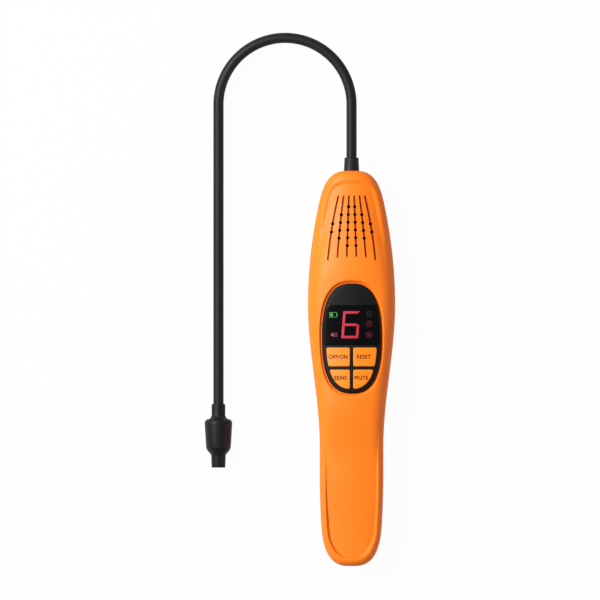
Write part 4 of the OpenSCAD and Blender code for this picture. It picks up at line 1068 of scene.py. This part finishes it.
painted("", linear(247, 120, 24), linear(252, 128, 32), linear(255, 160, 84), rough=(0.44, 0.54),
        grain=(2600, 0.1), specular=0.22, material=orange_plastic)
# Painted shade: the grooves' walls and floor get a darker orange-brown, which stands in for the shadow in the narrow
# slots.
dusty_groove = painted("dusty_groove", linear(128, 48, 10), linear(146, 58, 14), linear(170, 84, 34),
                       rough=(0.7, 0.85), grain=(1800, 0.2), specular=0.1)
key_plastic = painted("key_plastic", linear(246, 130, 20), linear(252, 138, 28), linear(255, 186, 110),
                      rough=(0.42, 0.5), grain=(4200, 0.05), polish=0.9, specular=0.35)
panel_film = painted("panel_film", linear(18, 18, 19), linear(23, 22, 22), linear(40, 39, 38),
                     rough=(0.5, 0.6), grain=(5200, 0.05), specular=0.12)
smoked_window = painted("smoked_window", linear(6, 6, 8), linear(9, 9, 11), linear(24, 24, 26),
                        rough=(0.1, 0.16), grain=(600, 0.004), polish=0.3, specular=0.25)
collar_plastic = painted("collar_plastic", linear(26, 29, 33), linear(34, 37, 42), linear(70, 74, 80),
                         rough=(0.46, 0.56), grain=(3600, 0.06), specular=0.15)
painted("", linear(28, 28, 28), linear(34, 34, 34), linear(70, 70, 70), rough=(0.42, 0.5),
        grain=(2400, 0.07), polish=0.3, specular=0.13, material=sheath_rubber)
probe_plastic = painted("probe_plastic", linear(24, 24, 24), linear(31, 31, 31), linear(70, 70, 70),
                        rough=(0.4, 0.5), grain=(3000, 0.06), specular=0.13)
word_ink = painted("word_ink", linear(44, 18, 6), linear(56, 24, 8), linear(72, 36, 14), rough=(0.5, 0.6),
                   grain=(6000, 0.04), polish=0.0, specular=0.2)
print("plastics:", [m.name for m in bpy.data.materials if m.use_nodes][:12])

# %% Lit marks, metals and inner parts
def lit(name, colour, strength, dark):
    """A lit inlay whose glow isn't quite even, as over a small lamp."""
    material = bpy.data.materials.new(name)
    material.use_nodes = True
    tree = material.node_tree
    shader = tree.nodes["Principled BSDF"]
    place = tree.nodes.new("ShaderNodeTexCoord").outputs["Object"]
    uneven = wire(tree, "ShaderNodeTexNoise", Vector=place, Scale=420.0, Detail=1.0)
    glow = tree.nodes.new("ShaderNodeMix")
    glow.data_type = "RGBA"
    glow.inputs["A"].default_value = (*[v * 0.8 for v in colour], 1)
    glow.inputs["B"].default_value = (*[min(1, v * 1.2) for v in colour], 1)
    chain(tree, (uneven.outputs[0], glow.inputs["Factor"]),
          (glow.outputs["Result"], shader.inputs["Emission Color"]))
    shader.inputs["Emission Strength"].default_value = strength
    shader.inputs["Base Color"].default_value = (*dark, 1)
    shader.inputs["Roughness"].default_value = 0.4
    return material


lit_crimson = lit("lit_crimson", linear(205, 36, 66), 1.0, linear(60, 8, 16))
lit_green = lit("lit_green", linear(44, 168, 52), 0.8, linear(10, 50, 14))
lit_red = lit("lit_red", linear(175, 30, 50), 0.8, linear(60, 8, 16))
lit_dull_red = lit("lit_dull_red", linear(108, 22, 34), 0.75, linear(40, 8, 12))
unlit_grey = lit("unlit_grey", linear(30, 32, 30), 0.3, linear(34, 36, 34))

SLOT_FINISHES = {
    "steel": painted("zinc_steel", (0.56, 0.56, 0.58), (0.66, 0.66, 0.68), (0.8, 0.8, 0.82), rough=(0.25, 0.4),
                     grain=(900, 0.05), metallic=1.0),
    "core_steel": painted("wound_steel", (0.36, 0.36, 0.38), (0.44, 0.44, 0.46), (0.6, 0.6, 0.62),
                          rough=(0.35, 0.5), grain=(1500, 0.1), metallic=1.0),
    "board_green": painted("board_laminate", linear(18, 84, 44), linear(26, 104, 56), linear(120, 140, 90),
                           rough=(0.35, 0.45), grain=(1200, 0.08)),
    "black_part": painted("black_moulding", linear(26, 26, 27), linear(34, 34, 35), linear(70, 70, 72)),
    "socket_ivory": painted("ivory_moulding", linear(226, 220, 200), linear(236, 230, 212), linear(244, 240, 228)),
    "led_clear": painted("lamp_resin", linear(222, 222, 216), linear(234, 234, 228), linear(244, 244, 240),
                         rough=(0.15, 0.25), grain=(800, 0.02)),
    "contact_nickel": painted("nickel_plate", (0.58, 0.56, 0.52), (0.66, 0.64, 0.6), (0.78, 0.76, 0.72),
                              rough=(0.2, 0.35), grain=(900, 0.04), metallic=1.0),
    "cell_wrap": painted("cell_sleeve", linear(52, 66, 96), linear(60, 76, 108), linear(150, 156, 166),
                         rough=(0.25, 0.35), grain=(500, 0.03)),
    "cable_skin": painted("cable_skin", linear(126, 22, 20), linear(146, 30, 26), linear(170, 60, 52),
                          grain=(2600, 0.08)),
    "seal_rubber": painted("seal_rubber", linear(18, 18, 18), linear(26, 26, 26), linear(50, 50, 50),
                           rough=(0.5, 0.6), grain=(2600, 0.08)),
    "sensor_can": painted("sensor_brass", (0.66, 0.5, 0.26), (0.76, 0.6, 0.34), (0.9, 0.78, 0.5),
                          rough=(0.22, 0.36), grain=(900, 0.05), metallic=1.0),
    "filter_felt": painted("filter_felt", linear(224, 222, 214), linear(238, 236, 230), linear(246, 245, 240),
                           rough=(0.85, 0.95), grain=(1800, 0.5)),
    "orange_shell": orange_plastic, "key_orange": key_plastic, "panel_black": panel_film,
    "window_black": smoked_window, "collar_black": collar_plastic, "sheath_black": sheath_rubber,
    "probe_black": probe_plastic,
}
for row in frame["record"]["subparts"]:
    mesh = nodes[row["node"]].data
    mesh.materials.clear()
    mesh.materials.append(SLOT_FINISHES[row["material_slot"]])

# %% [markdown]
# ## Every piece rides on a body
#
# Each piece that replaces a CAD node says which body it moves with, which node it stands for, and which
# material slot it takes its finish from. The words move with their keys and the signs stay with the housing.

# %% Pieces, bodies and slots
STANDS_FOR = [
    (front_shell, "handset", "front_housing", "orange_shell"), (rear_shell, "handset", "rear_housing", "orange_shell"),
    (battery_door, "door", "battery_door", "orange_shell"), (panel_plate, "handset", "control_panel", "panel_black"),
    (window_pane, "handset", "display_window", "window_black"),
    (collar, "handset", "gooseneck_collar", "collar_black"),
    (sheath_skin, "handset", "gooseneck_sheath", "sheath_black"), (holder, "handset", "probe_holder", "probe_black"),
    (probe_barrel, "cap", "probe_cap", "probe_black"),
]
STANDS_FOR += [(key_caps[name], name, f"{name}_key", "key_orange") for name in KEYS]
MARKS = [(digit_six, lit_crimson), (battery_sign, lit_green), (sound_sign, lit_red), (alarm_sign, lit_dull_red),
         (silent_sign, lit_dull_red), (dim_sign, unlit_grey)]


def finished(piece, material):
    piece.data.materials.clear()
    piece.data.materials.append(material)
    for face in piece.data.polygons:
        face.material_index = 0


for piece, body, node, slot in STANDS_FOR:
    finished(piece, SLOT_FINISHES[slot])
    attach(piece, body)
    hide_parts(node)
for name, piece in words.items():
    finished(piece, word_ink)
    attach(piece, name)
for piece, material in MARKS:
    finished(piece, material)
    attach(piece, "handset")
print("pieces:", len(STANDS_FOR) + len(words) + len(MARKS))


# %% Painted shade in the grooves
def in_a_groove(x, y, z):
    """Whether a point is in one of the grooves, below the face."""
    t = (y - GRILLE_Y) / GROOVE_LENGTH + 0.5
    aside = min(abs(x - groove_point(n, t)[0]) for n in range(6))
    depth = crown_height(y) - crown_sag(x, y) - step_depth(y) - z
    return -0.1 < t < 1.05 and aside < 0.9 and 0.1 < depth < WALL - 0.1


# The faces inside the grooves take the darker material, so the grooves' shade is painted into their colour.
front_shell.data.materials.append(dusty_groove)
darkened = 0
for face in front_shell.data.polygons:
    if in_a_groove(*(face.center / MM)):
        face.material_index, darkened = 1, darkened + 1
print("dusty faces in the grooves:", darkened)

# %% [markdown]
# ## Floor, light and camera
#
# The detector lies on its back and is seen from straight above, on white. The floor is white to the
# camera and in reflections, and keeps a soft shadow. A large soft lamp on the upper left gives the
# housing its bright left side. A long lens keeps the view almost free of perspective.

# %% Floor and world
floor_mesh = bpy.data.meshes.new("floor")
FLOOR_HALF = 30
FLOOR_LEVEL = -0.05 * MM
floor_mesh.from_pydata([(x * FLOOR_HALF, y * FLOOR_HALF, FLOOR_LEVEL) for x, y in ((-1, -1), (1, -1), (1, 1), (-1, 1))],
                       [], [(0, 1, 2, 3)])
floor = bpy.data.objects.new("floor", floor_mesh)
scene.collection.objects.link(floor)
paper = bpy.data.materials.new("paper")
paper.use_nodes = True
tree = paper.node_tree
tree.nodes.remove(tree.nodes["Principled BSDF"])
output = tree.nodes["Material Output"]
matt = wire(tree, "ShaderNodeBsdfDiffuse", Color=(0.6, 0.6, 0.6, 1))
glow = wire(tree, "ShaderNodeEmission", Color=(1, 1, 1, 1), Strength=1.0)
seen = tree.nodes.new("ShaderNodeLightPath")
shown = maths(tree, "MAXIMUM", seen.outputs["Is Camera Ray"],
              maths(tree, "MAXIMUM", seen.outputs["Is Glossy Ray"], seen.outputs["Is Transmission Ray"]))
WHITE_SHARE = 0.97
mixed = wire(tree, "ShaderNodeMixShader", Fac=maths(tree, "MULTIPLY", shown, WHITE_SHARE), i1=matt.outputs[0],
             i2=glow.outputs[0])
tree.links.new(mixed.outputs[0], output.inputs["Surface"])
floor_mesh.materials.append(paper)

world = bpy.data.worlds.new("studio")
scene.world = world
world.use_nodes = True
world.node_tree.nodes["Background"].inputs["Color"].default_value = (1, 1, 1, 1)
world.node_tree.nodes["Background"].inputs["Strength"].default_value = 0.12
print("floor and world are made")


# %% Lamps and camera
def lamp(name, place, target, size, power, colour=(1, 1, 1)):
    light = bpy.data.lights.new(name, "AREA")
    light.shape, light.size, light.energy, light.color = "DISK", size, power, colour
    holder_object = bpy.data.objects.new(name, light)
    scene.collection.objects.link(holder_object)
    holder_object.location = place
    holder_object.rotation_euler = (Vector(target) - Vector(place)).to_track_quat("-Z", "Y").to_euler()
    return holder_object


lamp("key_lamp", (-1.08, 0.54, 1.34), (-0.02, 0.03, 0.02), 0.8, 51)
lamp("side_lamp", (1.4, -0.4, 0.5), (0, 0.03, 0.02), 0.6, 6, (1, 0.76, 0.58))

camera_data = bpy.data.cameras.new("camera")
camera_data.lens, camera_data.sensor_width = 1000, 36
FRAME_WIDTH, FACE_LEVEL = 0.3488, 0.026
camera = bpy.data.objects.new("camera", camera_data)
scene.collection.objects.link(camera)
camera.location = (-0.0300, 0.0398, FACE_LEVEL + FRAME_WIDTH * camera_data.lens / camera_data.sensor_width)
camera_data.clip_start, camera_data.clip_end = 0.1, 100
scene.camera = camera
scene.view_settings.view_transform = "Standard"
print("camera height:", round(camera.location.z, 3))

# %% The last update of the scene
bpy.context.view_layer.update()
